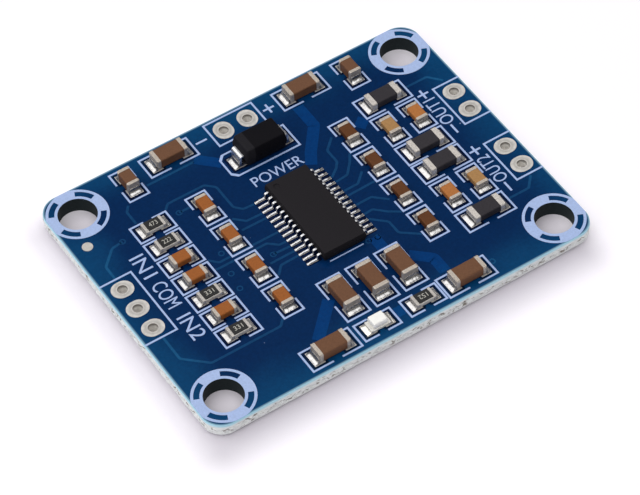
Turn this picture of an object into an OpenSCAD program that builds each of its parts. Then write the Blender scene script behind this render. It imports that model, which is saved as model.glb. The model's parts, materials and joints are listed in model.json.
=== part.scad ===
// Stereo audio amplifier board with surface-mounted parts and open wire holes.
// The origin is the centre of the underside. +X points to the loudspeaker edge, +Y to the power edge
// and +Z out of the side that carries the parts.

/* [Board] */
// Length of the board along X
board_l = 40; // [37:0.5:80]
// Width of the board along Y
board_w = 30; // [29:0.5:60]
// Thickness of the board
board_t = 1.6; // [0.8:0.1:3.2]
// Radius of the board's four corners
corner_r = 2; // [0.5:0.1:2.6]
// Bare strip between a long edge and the printed frames next to it
edge_gap = 0.6; // [0.3:0.05:2]
// Thickness of the web between the scores that a straight edge was broken along
score_web = 0.76; // [0.3:0.02:0.78]
// Width of the score's slope on the board's face
score_inset = 0.07; // [0.03:0.01:0.09]

/* [Mounting holes] */
// Diameter of a mounting hole
hole_d = 3.6; // [2.2:0.1:4]
// Distance of the hole centres from the short edges
hole_inset_x = 2.8; // [2.6:0.1:4]
// Distance of the hole centres from the long edges
hole_inset_y = 2.9; // [2.6:0.1:3.2]
// Width of the printed ring round a mounting hole
ring_w = 1.05; // [0.6:0.05:1.2]
// Width of each of the ring's two thin bands
ring_band = 0.26; // [0.15:0.01:0.28]
// Angle that one window of the ring spans
ring_window = 42; // [20:1:70]

/* [Wire holes] */
// Pitch of the wire holes
wire_pitch = 2.54; // [2.54:0.01:3]
// Diameter of a plated wire hole
wire_hole_d = 0.9; // [0.8:0.05:1.2]
// Thickness of the plated barrel
barrel_t = 0.05; // [0.03:0.005:0.1]
// Length of an oval wire pad, across the board's edge
wire_pad_l = 2.1; // [1.9:0.05:2.5]
// Width of an oval wire pad, along the board's edge
wire_pad_w = 1.8; // [1.5:0.05:2]
// Distance of the input holes from their edge
input_inset = 1.66; // [1.4:0.02:2]
// Distance of the output holes from their edge
output_inset = 1.46; // [1.4:0.02:2]
// Distance of the left output pair from the board's middle line
left_output_y = 3.94; // [3.4:0.02:4.4]
// Distance of the right output pair from the board's middle line
right_output_y = 4.08; // [3.4:0.02:4.4]

/* [Print and pads] */
// Width of a printed line
line_w = 0.18; // [0.1:0.01:0.25]
// Thickness of the printed ink
ink_t = 0.02; // [0.01:0.005:0.04]
// Width of the printed line at each end of the chip
chip_line_w = 0.12; // [0.08:0.01:0.25]
// Opening in the middle of a frame's long sides
frame_opening = 0.9; // [0.3:0.05:1.2]
// Bare gap between a pad's end and the frame
frame_end_gap = 0.48; // [0.3:0.02:0.6]
// Bare gap between a pad's side and the frame
frame_side_gap = 0.42; // [0.3:0.02:0.6]
// Thickness of a tinned pad
pad_t = 0.04; // [0.03:0.005:0.08]
// Length of pad that shows beyond a small part's end
small_pad_toe = 0.45; // [0.3:0.02:0.6]
// Length of pad that shows beyond a large part's end
large_pad_toe = 0.5; // [0.3:0.02:0.7]
// Length of pad that lies under a part's end
pad_heel = 0.55; // [0.4:0.02:0.7]
// Width of pad that shows on each side of a part
pad_side = 0.04; // [0:0.01:0.1]
// Share of an end cap's height that the solder climbs
solder_rise = 0.5; // [0.3:0.05:0.9]

/* [Spacing of the parts] */
// Gap between the frames in the stack of parts by the inputs
stack_gap = 0.16; // [0.1:0.02:0.3]
// Gap between the frames of a column of parts, and between rows of frames
column_gap = 0.31; // [0.2:0.01:0.5]
// Gap between the chip's pads and the column of frames on the input side
left_column_gap = 2.78; // [2:0.02:3.2]
// Gap between the chip's pads and the column of frames on the output side
right_column_gap = 3.02; // [2:0.02:3.2]
// Gap between the left column and the stack by the inputs
stack_column_gap = 1.97; // [1:0.01:2.2]
// Gap between the right column and the output parts
output_column_gap = 1.27; // [1:0.01:1.5]
// Gap between the frames of the output parts, one above the other
output_row_gap = 0.2; // [0.1:0.01:0.3]
// Gap between the frames of an output capacitor pair
output_pair_gap = 0.71; // [0.3:0.01:0.72]
// Room for a polarity sign on each side of the power holes
sign_room = 1.84; // [1.5:0.02:2.2]
// Gap between the frames of the upper left corner capacitor and its neighbour
left_corner_gap = 0.92; // [0.6:0.02:1.2]
// Gap between the frames of the upper right corner capacitor and its neighbour
right_corner_gap = 1.28; // [0.6:0.02:1.6]
// Gap between the frames of the supply capacitors below the chip
supply_gap = 0.5; // [0.3:0.02:0.7]
// Gap between the power frame and the diode's frame
diode_gap = 0.86; // [0.6:0.02:1.2]
// Distance of the lamp's resistor from the board's middle line
lamp_resistor_x = 2.49; // [2.4:0.01:2.52]
// Offset of the test pad from the upper left mounting hole, along X
test_pad_dx = 1.2; // [0.8:0.05:1.6]
// Drop of the test pad below the upper left mounting hole
test_pad_dy = 3.72; // [3.5:0.02:4.2]
// Diameter of the test pad
test_pad_d = 1; // [0.6:0.05:1.2]

/* [Chip capacitors, resistors and beads] */
// Length of a small part over its end caps
small_l = 2; // [1.8:0.05:2.2]
// Width of a small part
small_w = 1.25; // [1.1:0.05:1.4]
// Length of a large part over its end caps
large_l = 3.2; // [3:0.05:3.4]
// Width of a large part
large_w = 1.6; // [1.4:0.05:1.7]
// Height of the capacitors on the input side
input_capacitor_h = 0.8; // [0.6:0.05:1.25]
// Height of the capacitors on the output side of the chip
bootstrap_capacitor_h = 0.7; // [0.6:0.05:1.25]
// Height of the capacitors between the beads
output_capacitor_h = 0.7; // [0.6:0.05:1.25]
// Height of the two corner capacitors
corner_capacitor_h = 1.2; // [0.6:0.05:1.4]
// Height of the large supply capacitors
supply_capacitor_h = 1.1; // [0.8:0.05:1.6]
// Height of a ferrite bead
bead_h = 0.85; // [0.7:0.05:1.3]
// Height of a resistor with its overcoat
resistor_h = 0.55; // [0.45:0.05:0.8]
// Thickness of a resistor's overcoat
overcoat_t = 0.05; // [0.03:0.01:0.1]
// Gap between a resistor's overcoat and its end caps
overcoat_gap = 0.03; // [0.02:0.01:0.1]
// Thickness of an end cap's plating
cap_t = 0.03; // [0.02:0.005:0.06]
// Length of a small capacitor's end cap
small_band = 0.3; // [0.24:0.02:0.5]
// Length of a resistor's end cap
resistor_band = 0.26; // [0.2:0.02:0.5]
// Length of a supply capacitor's end cap
large_band = 0.38; // [0.3:0.02:0.7]
// Length of a bead's end cap
bead_band = 0.52; // [0.4:0.02:0.7]
// Radius of a capacitor's or a bead's edges
ceramic_r = 0.14; // [0.04:0.01:0.18]
// Radius of a resistor's edges
resistor_r = 0.06; // [0.03:0.01:0.12]

/* [Amplifier chip] */
// Length of the chip's body along Y
chip_l = 9.7; // [9.3:0.05:10.2]
// Width of the chip's body along X
chip_w = 4.4; // [4.2:0.05:4.8]
// Height of the chip's body
chip_h = 1.0; // [0.8:0.05:1.2]
// Gap between the chip's body and its pads
chip_standoff = 0.06; // [0.05:0.01:0.2]
// Draft of the moulded bodies' sides, in degrees
draft = 10; // [3:1:15]
// Leads on each side of the chip
lead_count = 14; // [12:1:14]
// Pitch of the leads
lead_pitch = 0.65; // [0.6:0.01:0.68]
// Width of a lead
lead_w = 0.2; // [0.18:0.01:0.3]
// Thickness of a lead
lead_t = 0.13; // [0.1:0.01:0.16]
// Inner radius of a lead's bends
lead_r = 0.09; // [0.06:0.01:0.12]
// Straight run of a lead before its first bend
lead_shoulder = 0.12; // [0.08:0.01:0.2]
// Straight length of a lead's foot
lead_foot = 0.57; // [0.4:0.01:0.7]
// Length of pad that shows beyond a lead's toe
lead_pad_toe = 0.42; // [0.2:0.02:0.6]
// Width of pad that shows on each side of a lead
lead_pad_side = 0.03; // [0.02:0.01:0.08]
// Length of the heat pad below the chip
heat_pad_l = 6.2; // [4:0.1:8]
// Width of the heat pad below the chip
heat_pad_w = 3; // [2:0.1:3.6]
// Diameter of the dimple that marks the first lead
dimple_d = 0.8; // [0.4:0.05:1]
// Depth of the dimple
dimple_depth = 0.06; // [0.03:0.01:0.15]
// Distance of the dimple's centre from the chip's two edges
dimple_inset = 0.95; // [0.7:0.05:1.2]

/* [Diode] */
// Length of the diode's body along X
diode_l = 4.3; // [4:0.05:4.6]
// Width of the diode's body
diode_w = 2.6; // [2.4:0.05:2.8]
// Height of the diode's body
diode_h = 2.0; // [1.7:0.05:2.3]
// Width of a terminal strip
strip_w = 1.45; // [1.2:0.05:1.6]
// Thickness of a terminal strip
strip_t = 0.2; // [0.15:0.01:0.25]
// Inner radius of a strip's bends
strip_r = 0.12; // [0.08:0.01:0.2]
// Straight run of a strip before its first bend
strip_shoulder = 0.13; // [0.05:0.01:0.3]
// Length of strip folded under the body
strip_foot = 1.1; // [0.8:0.05:1.4]
// Offset of the diode from the middle of its frame, along X
diode_dx = 0.15; // [-0.2:0.01:0.2]
// Cut corner of the diode's frame at its marked end
diode_corner = 0.5; // [0.3:0.05:0.8]

/* [Indicator lamp] */
// Height of the lamp's base
lamp_base_h = 0.3; // [0.2:0.05:0.4]
// Radius of the lamp base's edges
lamp_base_r = 0.03; // [0.01:0.01:0.08]
// Length of one of the lamp's end terminals
lamp_band = 0.22; // [0.2:0.02:0.44]
// Height of the lens above the base
lens_h = 0.7; // [0.3:0.05:1]
// Gap between the lens and the end terminals
lens_gap = 0.04; // [0.02:0.01:0.1]

/* [Hidden] */
$fn = 48;
past = 1;

// Colours of the pieces
mask_blue = "#12407c";
ink_white = "#c8d4ea";
tin = "#c9c6c0";
solder_grey = "#b9bcc0";
chip_black = "#242326";
tan_ceramic = "#b07040";
brown_ceramic = "#704830";
dark_brown_ceramic = "#70421f";
orange_ceramic = "#c08450";
ferrite_grey = "#343133";
alumina_white = "#d8d6d0";
lamp_white = "#f0ead8";

// Heights of the faces that the parts stand on
pad_z = board_t + pad_t;

// Depth of a score
score_depth = (board_t - score_web) / 2;

// Sizes of the parts, as [length, width, height]
input_capacitor_size = [small_l, small_w, input_capacitor_h];
bootstrap_capacitor_size = [small_l, small_w, bootstrap_capacitor_h];
output_capacitor_size = [small_l, small_w, output_capacitor_h];
corner_capacitor_size = [small_l, small_w, corner_capacitor_h];
supply_capacitor_size = [large_l, large_w, supply_capacitor_h];
bead_size = [large_l, large_w, bead_h];
resistor_size = [small_l, small_w, resistor_h - overcoat_t];
lamp_base_size = [small_l, small_w, lamp_base_h];

// Printed frames, measured over their outer sides
small_frame_l = small_l + 2 * (small_pad_toe + frame_end_gap);
small_frame_w = small_w + 2 * (pad_side + frame_side_gap);
large_frame_l = large_l + 2 * (large_pad_toe + frame_end_gap);
large_frame_w = large_w + 2 * (pad_side + frame_side_gap);
wire_frame_margin = wire_pad_w / 2 + frame_end_gap;

// The chip's leads, from the body's side to the toe
lead_bend = lead_r + lead_t;
lead_toe = chip_w / 2 + lead_shoulder + lead_bend + lead_r + lead_foot;
lead_pad_l = lead_foot + lead_pad_toe + lead_r;
chip_reach = lead_toe + lead_pad_toe;
chip_line_y = chip_l / 2 + line_w;
chip_line_l = 0.8 * chip_w;

// The diode's strips and frame
strip_bend = strip_r + strip_t;
diode_reach = diode_l / 2 + strip_shoulder + strip_bend;
diode_pad_reach = diode_reach + large_pad_toe;
diode_pad_l = strip_foot + large_pad_toe;
diode_frame_l = 2 * (diode_pad_reach + frame_end_gap);
diode_frame_w = diode_w + 2 * (pad_side + line_w);

// Columns of parts, counted outwards from the chip
left_column_x = -chip_reach - left_column_gap - small_frame_w / 2;
stack_x = left_column_x - small_frame_w / 2 - stack_column_gap - small_frame_l / 2;
right_column_x = chip_reach + right_column_gap + small_frame_w / 2;
output_x = right_column_x + small_frame_w / 2 + output_column_gap + large_frame_l / 2;
stack_pitch = small_frame_w + stack_gap;
column_pitch = small_frame_l + column_gap;
output_pair = (small_frame_w + output_pair_gap) / 2;

// Rows of output parts, counted outwards from the middle line
inner_bead_y = large_frame_w / 2 + output_row_gap / 4;
output_capacitor_y = inner_bead_y + large_frame_w / 2 + output_row_gap + small_frame_l / 2;
outer_bead_y = output_capacitor_y + small_frame_l / 2 + output_row_gap + large_frame_w / 2;

// Rows along the two long edges, counted inwards from the edge
edge_row_y = board_w / 2 - edge_gap - large_frame_w / 2;
corner_capacitor_y = board_w / 2 - edge_gap - small_frame_l / 2;
supply_row_y = large_frame_w / 2 + column_gap + large_frame_l / 2 - edge_row_y;
power_frame_l = wire_pitch + 2 * wire_frame_margin;
power_frame_w = wire_pad_l + 2 * frame_end_gap;
diode_y = edge_row_y - power_frame_w / 2 - diode_gap - diode_frame_w / 2;
edge_supply_x = power_frame_l / 2 + sign_room + large_frame_l / 2;
left_corner_x = -edge_supply_x - large_frame_l / 2 - left_corner_gap - small_frame_w / 2;
right_corner_x = edge_supply_x + large_frame_l / 2 + right_corner_gap + small_frame_w / 2;
supply_pitch = large_frame_w + supply_gap;
lamp_x = small_frame_l / 2 + column_gap + large_frame_l / 2 - edge_supply_x;

// Mounting holes and wire holes
hole_x = board_l / 2 - hole_inset_x;
hole_y = board_w / 2 - hole_inset_y;
input_x = input_inset - board_l / 2;
wire_output_x = board_l / 2 - output_inset;
ring_r = hole_d / 2 + ring_w;

// Places of the parts, as [x, y, turn about Z]
stack_places = [for (i = [3:-1:-3]) [stack_x, i * stack_pitch, 0]];
column_rows = [for (i = [1.5:-1:-1.5]) i * column_pitch];
resistor_places = concat([for (i = [0, 1, 4, 6]) stack_places[i]],
                         [[lamp_resistor_x, -edge_row_y, 180]]);
bead_places = [for (y = [outer_bead_y, inner_bead_y, -inner_bead_y, -outer_bead_y]) [output_x, y, 0]];
supply_places = concat([for (sy = [1, -1], sx = [-1, 1]) [sx * edge_supply_x, sy * edge_row_y, 0]],
                       [for (i = [-1:1]) [i * supply_pitch, supply_row_y, 90]]);
lamp_place = [lamp_x, -edge_row_y, 0];
diode_place = [diode_dx, diode_y, 0];

// Each family of parts, as a list of [place, size]
resistors = [for (p = resistor_places) [p, resistor_size]];
beads = [for (p = bead_places) [p, bead_size]];
supply_capacitors = [for (p = supply_places) [p, supply_capacitor_size]];
input_capacitors = concat([for (i = [2, 3, 5]) [stack_places[i], input_capacitor_size]],
                          [for (y = column_rows) [[left_column_x, y, 90], input_capacitor_size]]);
bootstrap_capacitors = [for (y = column_rows) [[right_column_x, y, 90], bootstrap_capacitor_size]];
output_capacitors = [for (sy = [1, -1], sx = [-1, 1])
    [[output_x + sx * output_pair, sy * output_capacitor_y, 90], output_capacitor_size]];
corner_capacitors = [for (x = [left_corner_x, right_corner_x])
    [[x, corner_capacitor_y, 90], corner_capacitor_size]];
small_capacitors = concat(input_capacitors, bootstrap_capacitors, output_capacitors, corner_capacitors);
lamp_parts = [[lamp_place, lamp_base_size]];
small_parts = concat(small_capacitors, resistors, lamp_parts);
large_parts = concat(supply_capacitors, beads);

// Places of the wire holes, as [x, y, turn about Z]
input_wires = [for (i = [1:-1:-1]) [input_x, i * wire_pitch, 0]];
power_wires = [for (i = [-0.5, 0.5]) [i * wire_pitch, edge_row_y, 90]];
left_output_wires = [for (i = [0.5, -0.5]) [wire_output_x, left_output_y + i * wire_pitch, 0]];
right_output_wires = [for (i = [0.5, -0.5]) [wire_output_x, -right_output_y + i * wire_pitch, 0]];
all_wires = concat(input_wires, power_wires, left_output_wires, right_output_wires);

function numbered(stem, parts) = [for (i = [1:len(parts)]) str(stem, "_", i)];

// Stands its children on the pads at a part's place
module stand(place) {
    translate([place[0], place[1], pad_z]) rotate([0, 0, place[2]]) children();
}

// Lays its children on the board's upper face at a place
module lay(place) {
    translate([place[0], place[1], board_t]) rotate([0, 0, place[2]]) children();
}

// Repeats its children at both ends of a part, each facing outwards along X
module both_ends() {
    for (turn = [0, 180]) rotate([0, 0, turn]) children();
}

module rounded_rect(l, w, r) {
    square([l - 2 * r, w], center = true);
    square([l, w - 2 * r], center = true);
    for (sx = [-1, 1], sy = [-1, 1]) translate([sx * (l / 2 - r), sy * (w / 2 - r)]) circle(r);
}

// Block standing on z = 0, with its long edges and its upright edges rounded
module rounded_block(size, r) {
    intersection() {
        linear_extrude(size[2]) rounded_rect(size[0], size[1], r);
        translate([-size[0] / 2, 0, size[2] / 2])
            rotate([90, 0, 90]) linear_extrude(size[0]) rounded_rect(size[1], size[2], r);
    }
}

// Body of a part with edges of radius r, inside the plating of its end caps
module ceramic(size, r) {
    plating = 2 * cap_t * [1, 1, 1];
    translate([0, 0, cap_t]) rounded_block(size - plating, r);
}

// Two plated caps that wrap a part's ends, each open towards the middle
module end_caps(size, band, r) {
    difference() {
        rounded_block(size, r + cap_t);
        ceramic(size, r);
        translate([0, 0, size[2] / 2])
            cube([size[0] - 2 * band, size[1] + past, size[2] + past], center = true);
    }
}

// Pair of pads below a part's ends
module pad_pair(size, toe) {
    pad_w = size[1] + 2 * pad_side;
    both_ends() translate([size[0] / 2 - pad_heel, -pad_w / 2, 0]) cube([pad_heel + toe, pad_w, pad_t]);
}

// Hollow wedge of solder, h high at x = 0, down to a thin lip at its toe. Its round cut is upright at
// the top of a tall wedge, and lies flat at the toe of a low one.
module fillet(toe, h, w) {
    lip = pad_t / 2;
    drop = h - lip;
    r = (toe * toe + drop * drop) / (2 * min(toe, drop));
    centre = drop > toe ? [r, h] : [toe, lip + r];
    rotate([90, 0, 0]) linear_extrude(w, center = true) difference() {
        square([toe, h]);
        translate(centre) circle(r);
    }
}

// Solder at both ends of a part
module fillet_pair(size, toe) {
    both_ends() translate([size[0] / 2, 0, 0]) fillet(toe, size[2] * solder_rise, size[1]);
}

// Printed frame in two halves, open in the middle of its long sides
module split_frame(l, w) {
    linear_extrude(ink_t) difference() {
        square([l, w], center = true);
        square([l - 2 * line_w, w - 2 * line_w], center = true);
        square([frame_opening, w + past], center = true);
    }
}

// Printed frame on three sides, l deep from the rim of the board's face at x = 0 and open there
module edge_frame(l, w) {
    translate([0, -w / 2, 0]) linear_extrude(ink_t) difference() {
        square([l, w]);
        translate([-past, line_w]) square([l - line_w + past, w - 2 * line_w]);
    }
}

module closed_frame(l, w) {
    linear_extrude(ink_t) difference() {
        square([l, w], center = true);
        square([l - 2 * line_w, w - 2 * line_w], center = true);
    }
}

// Oblong with its marked end, at -X, cut at both corners
module marked_outline(l, w, cut) {
    polygon([[l / 2, w / 2], [cut - l / 2, w / 2], [-l / 2, w / 2 - cut],
             [-l / 2, cut - w / 2], [cut - l / 2, -w / 2], [l / 2, -w / 2]]);
}

// Profile of a moulded body, with draft above and below a band where the leads come out
module moulded_profile(l, h, band) {
    slope = (h - band) / 2 * tan(draft);
    polygon([[slope - l / 2, 0], [l / 2 - slope, 0], [l / 2, (h - band) / 2], [l / 2, (h + band) / 2],
             [l / 2 - slope, h], [slope - l / 2, h], [-l / 2, (h + band) / 2], [-l / 2, (h - band) / 2]]);
}

// Moulded body with draft on its four sides, standing on z = 0
module moulded_body(l, w, h, band) {
    intersection() {
        rotate([90, 0, 0]) linear_extrude(w, center = true) moulded_profile(l, h, band);
        rotate([90, 0, 90]) linear_extrude(l, center = true) moulded_profile(w, h, band);
    }
}

// Quarter of a bent strip, from angle 0 to 90 about the bend's centre
module bend(r, t) {
    difference() {
        intersection() {
            circle(r + t);
            square(r + t);
        }
        circle(r);
    }
}

module board_outline() {
    rounded_rect(board_l, board_w, corner_r);
}

// Oblong wire pad with round ends, long along X
module wire_pad_outline() {
    straight = wire_pad_l - wire_pad_w;
    square([straight, wire_pad_w], center = true);
    for (sx = [-1, 1]) translate([sx * straight / 2, 0]) circle(d = wire_pad_w);
}

// One side of a score along X: the slope from the board's face at z = 0 down to its edge at y = 0
module score_cut(run) {
    rotate([90, 0, 90]) linear_extrude(run, center = true)
        polygon([[-score_inset, 0], [0, -score_depth], [past, -score_depth],
                 [past, past], [-score_inset, past]]);
}

// Scores on both faces of the four straight edges
module edge_scores() {
    for (turn = [0:90:270]) rotate([0, 0, turn]) {
        along_x = turn % 180 == 0;
        run = (along_x ? board_l : board_w) - 2 * corner_r;
        reach = (along_x ? board_w : board_l) / 2;
        translate([0, reach, board_t]) score_cut(run);
        translate([0, reach, 0]) rotate([0, 180, 0]) score_cut(run);
    }
}

// Laminate with its scored edges, its mounting holes, and a seat for each eyelet's barrel and lower pad
module circuit_board() {
    color(mask_blue) difference() {
        linear_extrude(board_t) board_outline();
        edge_scores();
        for (sx = [-1, 1], sy = [-1, 1])
            translate([sx * hole_x, sy * hole_y, -past]) cylinder(d = hole_d, h = board_t + 2 * past);
        for (p = all_wires) translate([p[0], p[1], 0]) rotate([0, 0, p[2]]) {
            translate([0, 0, -past]) cylinder(d = wire_hole_d + 2 * barrel_t, h = board_t + 2 * past);
            translate([0, 0, -past]) linear_extrude(past + pad_t) wire_pad_outline();
        }
    }
}

// One window of a ring, between its two thin bands
module ring_slot() {
    inner = hole_d / 2 + ring_band;
    rotate([0, 0, -ring_window / 2]) translate([0, 0, -past])
        rotate_extrude(angle = ring_window)
        translate([inner, 0]) square([ring_w - 2 * ring_band, ink_t + 2 * past]);
}

// Printed rings, cut where they would run over the board's edge
module hole_rings() {
    color(ink_white) translate([0, 0, board_t]) for (sx = [-1, 1], sy = [-1, 1]) intersection() {
        translate([sx * hole_x, sy * hole_y, 0]) difference() {
            linear_extrude(ink_t) difference() {
                circle(ring_r);
                circle(d = hole_d);
            }
            for (turn = [45:90:315]) rotate([0, 0, turn]) ring_slot();
        }
        translate([0, 0, ink_t / 2]) cube([board_l - line_w, board_w - line_w, ink_t + past], center = true);
    }
}

module outline_print() {
    input_depth = input_inset + wire_pad_l / 2 + frame_end_gap + line_w - score_inset;
    output_depth = output_inset + wire_pad_l / 2 + frame_end_gap - score_inset;
    rim_x = board_l / 2 - score_inset;
    output_w = wire_pitch + 2 * wire_frame_margin;
    color(ink_white) {
        for (part = small_parts) lay(part[0]) split_frame(small_frame_l, small_frame_w);
        for (part = large_parts) lay(part[0]) split_frame(large_frame_l, large_frame_w);
        lay([0, diode_y, 0]) linear_extrude(ink_t) difference() {
            marked_outline(diode_frame_l, diode_frame_w, diode_corner);
            marked_outline(diode_frame_l - 2 * line_w, diode_frame_w - 2 * line_w, diode_corner);
        }
        lay([0, edge_row_y, 0]) closed_frame(power_frame_l, power_frame_w);
        lay([-rim_x, 0, 0]) edge_frame(input_depth, 2 * (wire_pitch + wire_frame_margin));
        lay([rim_x, left_output_y, 180]) edge_frame(output_depth, output_w);
        lay([rim_x, -right_output_y, 180]) edge_frame(output_depth, output_w);
        for (sy = [-1, 1]) translate([-chip_line_l / 2, sy * chip_line_y - chip_line_w / 2, board_t])
            cube([chip_line_l, chip_line_w, ink_t]);
    }
}

module part_pads() {
    pad_w = strip_w + 2 * lead_pad_side;
    color(tin) {
        for (part = small_parts) lay(part[0]) pad_pair(part[1], small_pad_toe);
        for (part = large_parts) lay(part[0]) pad_pair(part[1], large_pad_toe);
        lay(diode_place) both_ends() translate([diode_pad_reach - diode_pad_l, -pad_w / 2, 0])
            cube([diode_pad_l, pad_w, pad_t]);
    }
}

// Repeats its children at each lead of the chip's right side, facing outwards along X
module each_lead() {
    for (i = [0:lead_count - 1]) translate([0, (i - (lead_count - 1) / 2) * lead_pitch, 0]) children();
}

module chip_pads() {
    pad_w = lead_w + 2 * lead_pad_side;
    color(tin) translate([0, 0, board_t]) both_ends() each_lead()
        translate([chip_reach - lead_pad_l, -pad_w / 2, 0]) cube([lead_pad_l, pad_w, pad_t]);
}

module test_pad() {
    color(tin) translate([-hole_x - test_pad_dx, hole_y - test_pad_dy, board_t])
        cylinder(d = test_pad_d, h = pad_t);
}

// Plated barrels, each with an oval pad on the upper face and one let into the underside
module eyelets(wires) {
    color(tin) for (p = wires) translate([p[0], p[1], 0]) rotate([0, 0, p[2]]) difference() {
        union() {
            linear_extrude(pad_t) wire_pad_outline();
            cylinder(d = wire_hole_d + 2 * barrel_t, h = pad_z);
            translate([0, 0, board_t]) linear_extrude(pad_t) wire_pad_outline();
        }
        translate([0, 0, -past]) cylinder(d = wire_hole_d, h = pad_z + 2 * past);
    }
}

module audio_input_eyelets() eyelets(input_wires);
module board_power_eyelets() eyelets(power_wires);
module audio_left_eyelets() eyelets(left_output_wires);
module audio_right_eyelets() eyelets(right_output_wires);

module chip_body() {
    color(chip_black) translate([0, 0, pad_z + chip_standoff]) difference() {
        moulded_body(chip_w, chip_l, chip_h, lead_t);
        translate([dimple_inset - chip_w / 2, chip_l / 2 - dimple_inset, chip_h - dimple_depth])
            cylinder(d = dimple_d, h = dimple_depth + past);
    }
}

// Gull wing seen from its side: shoulder, two bends, leg and foot
module lead_profile() {
    top = chip_standoff + (chip_h + lead_t) / 2;
    leg = chip_w / 2 + lead_shoulder + lead_r;
    translate([chip_w / 2, top - lead_t]) square([lead_shoulder, lead_t]);
    translate([leg - lead_r, top - lead_bend]) bend(lead_r, lead_t);
    translate([leg, lead_bend]) square([lead_t, top - 2 * lead_bend]);
    translate([leg + lead_bend, lead_bend]) rotate(180) bend(lead_r, lead_t);
    translate([leg + lead_bend, 0]) square([lead_foot, lead_t]);
}

// The leads of the chip's right side
module lead_row() {
    color(tin) translate([0, 0, pad_z]) each_lead()
        rotate([90, 0, 0]) linear_extrude(lead_w, center = true) lead_profile();
}

module chip_left_leads() rotate([0, 0, 180]) lead_row();
module chip_right_leads() lead_row();

// Copper slug in the chip's base, soldered down to the board
module chip_heat_pad() {
    color(solder_grey) translate([-heat_pad_w / 2, -heat_pad_l / 2, board_t])
        cube([heat_pad_w, heat_pad_l, pad_t + chip_standoff]);
}

module diode_body() {
    color(chip_black) stand(diode_place) translate([0, 0, strip_t])
        moulded_body(diode_l, diode_w, diode_h, strip_t);
}

// Strip seen from its side: shoulder, bend, leg, bend and the foot folded under the body
module strip_profile() {
    top = strip_t + (diode_h + strip_t) / 2;
    leg = diode_reach - strip_t;
    translate([diode_l / 2, top - strip_t]) square([strip_shoulder, strip_t]);
    translate([leg - strip_r, top - strip_bend]) bend(strip_r, strip_t);
    translate([leg, strip_bend]) square([strip_t, top - 2 * strip_bend]);
    translate([leg - strip_r, strip_bend]) rotate(-90) bend(strip_r, strip_t);
    translate([diode_reach - strip_foot, 0]) square([strip_foot - strip_bend, strip_t]);
}

module diode_terminals() {
    color(tin) stand(diode_place) both_ends()
        rotate([90, 0, 0]) linear_extrude(strip_w, center = true) strip_profile();
}

module lamp_base() {
    color(alumina_white) stand(lamp_place) ceramic(lamp_base_size, lamp_base_r);
}

// Lens moulded onto the base, between the end terminals
module lamp_lens() {
    lens_l = small_l - 2 * (lamp_band + lens_gap);
    lens_w = small_w - 2 * (cap_t + lamp_base_r);
    color(lamp_white) stand(lamp_place) translate([0, 0, lamp_base_h - cap_t])
        moulded_body(lens_l, lens_w, lens_h, cap_t);
}

module lamp_terminals() {
    color(tin) stand(lamp_place) end_caps(lamp_base_size, lamp_band, lamp_base_r);
}

// Ceramic body of one part of a family
module body_of(part, colour, r = ceramic_r) {
    color(colour) stand(part[0]) ceramic(part[1], r);
}

// End caps of a whole family
module caps_of(parts, band, r = ceramic_r) {
    color(tin) for (part = parts) stand(part[0]) end_caps(part[1], band, r);
}

// Black glass over each resistor's film, between its end caps
module resistor_overcoats() {
    coat_l = small_l - 2 * (resistor_band + overcoat_gap);
    coat_w = small_w - 2 * (cap_t + resistor_r);
    color(chip_black) for (part = resistors) stand(part[0])
        translate([-coat_l / 2, -coat_w / 2, part[1][2] - cap_t]) cube([coat_l, coat_w, overcoat_t + cap_t]);
}

module resistor_caps() caps_of(resistors, resistor_band, resistor_r);
module small_capacitor_caps() caps_of(small_capacitors, small_band);
module supply_capacitor_caps() caps_of(supply_capacitors, large_band);
module output_bead_caps() caps_of(beads, bead_band);

module part_solder() {
    color(solder_grey) {
        for (part = small_parts) stand(part[0]) fillet_pair(part[1], small_pad_toe);
        for (part = large_parts) stand(part[0]) fillet_pair(part[1], large_pad_toe);
        stand(diode_place) both_ends()
            translate([diode_reach, 0, 0]) fillet(large_pad_toe, diode_h * solder_rise / 2, strip_w);
    }
}

// Solder at the toe of each lead
module lead_solder() {
    color(solder_grey) translate([0, 0, pad_z]) both_ends() each_lead()
        translate([lead_toe, 0, 0]) fillet(lead_pad_toe, lead_t, lead_w);
}

circuit_board();
hole_rings();
outline_print();
part_pads();
chip_pads();
test_pad();
audio_input_eyelets();
board_power_eyelets();
audio_left_eyelets();
audio_right_eyelets();
chip_body();
chip_left_leads();
chip_right_leads();
chip_heat_pad();
diode_body();
diode_terminals();
lamp_base();
lamp_lens();
lamp_terminals();
for (i = [1:len(resistors)])
    body_of(resistors[i - 1], alumina_white, resistor_r);
resistor_overcoats();
resistor_caps();
for (i = [1:len(input_capacitors)])
    body_of(input_capacitors[i - 1], tan_ceramic);
for (i = [1:len(bootstrap_capacitors)])
    body_of(bootstrap_capacitors[i - 1], dark_brown_ceramic);
for (i = [1:len(output_capacitors)])
    body_of(output_capacitors[i - 1], orange_ceramic);
for (i = [1:len(corner_capacitors)])
    body_of(corner_capacitors[i - 1], brown_ceramic);
small_capacitor_caps();
for (i = [1:len(supply_capacitors)])
    body_of(supply_capacitors[i - 1], brown_ceramic);
supply_capacitor_caps();
for (i = [1:len(beads)])
    body_of(beads[i - 1], ferrite_grey);
output_bead_caps();
part_solder();
lead_solder();
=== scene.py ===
"""Dresses the audio amplifier board: laminate with scored edges, tracks, print, solder and finishes."""
import json
import math

import bmesh
import bpy
from bpy.props import FloatProperty, FloatVectorProperty, IntProperty, PointerProperty
from mathutils import Matrix, Vector, noise


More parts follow.
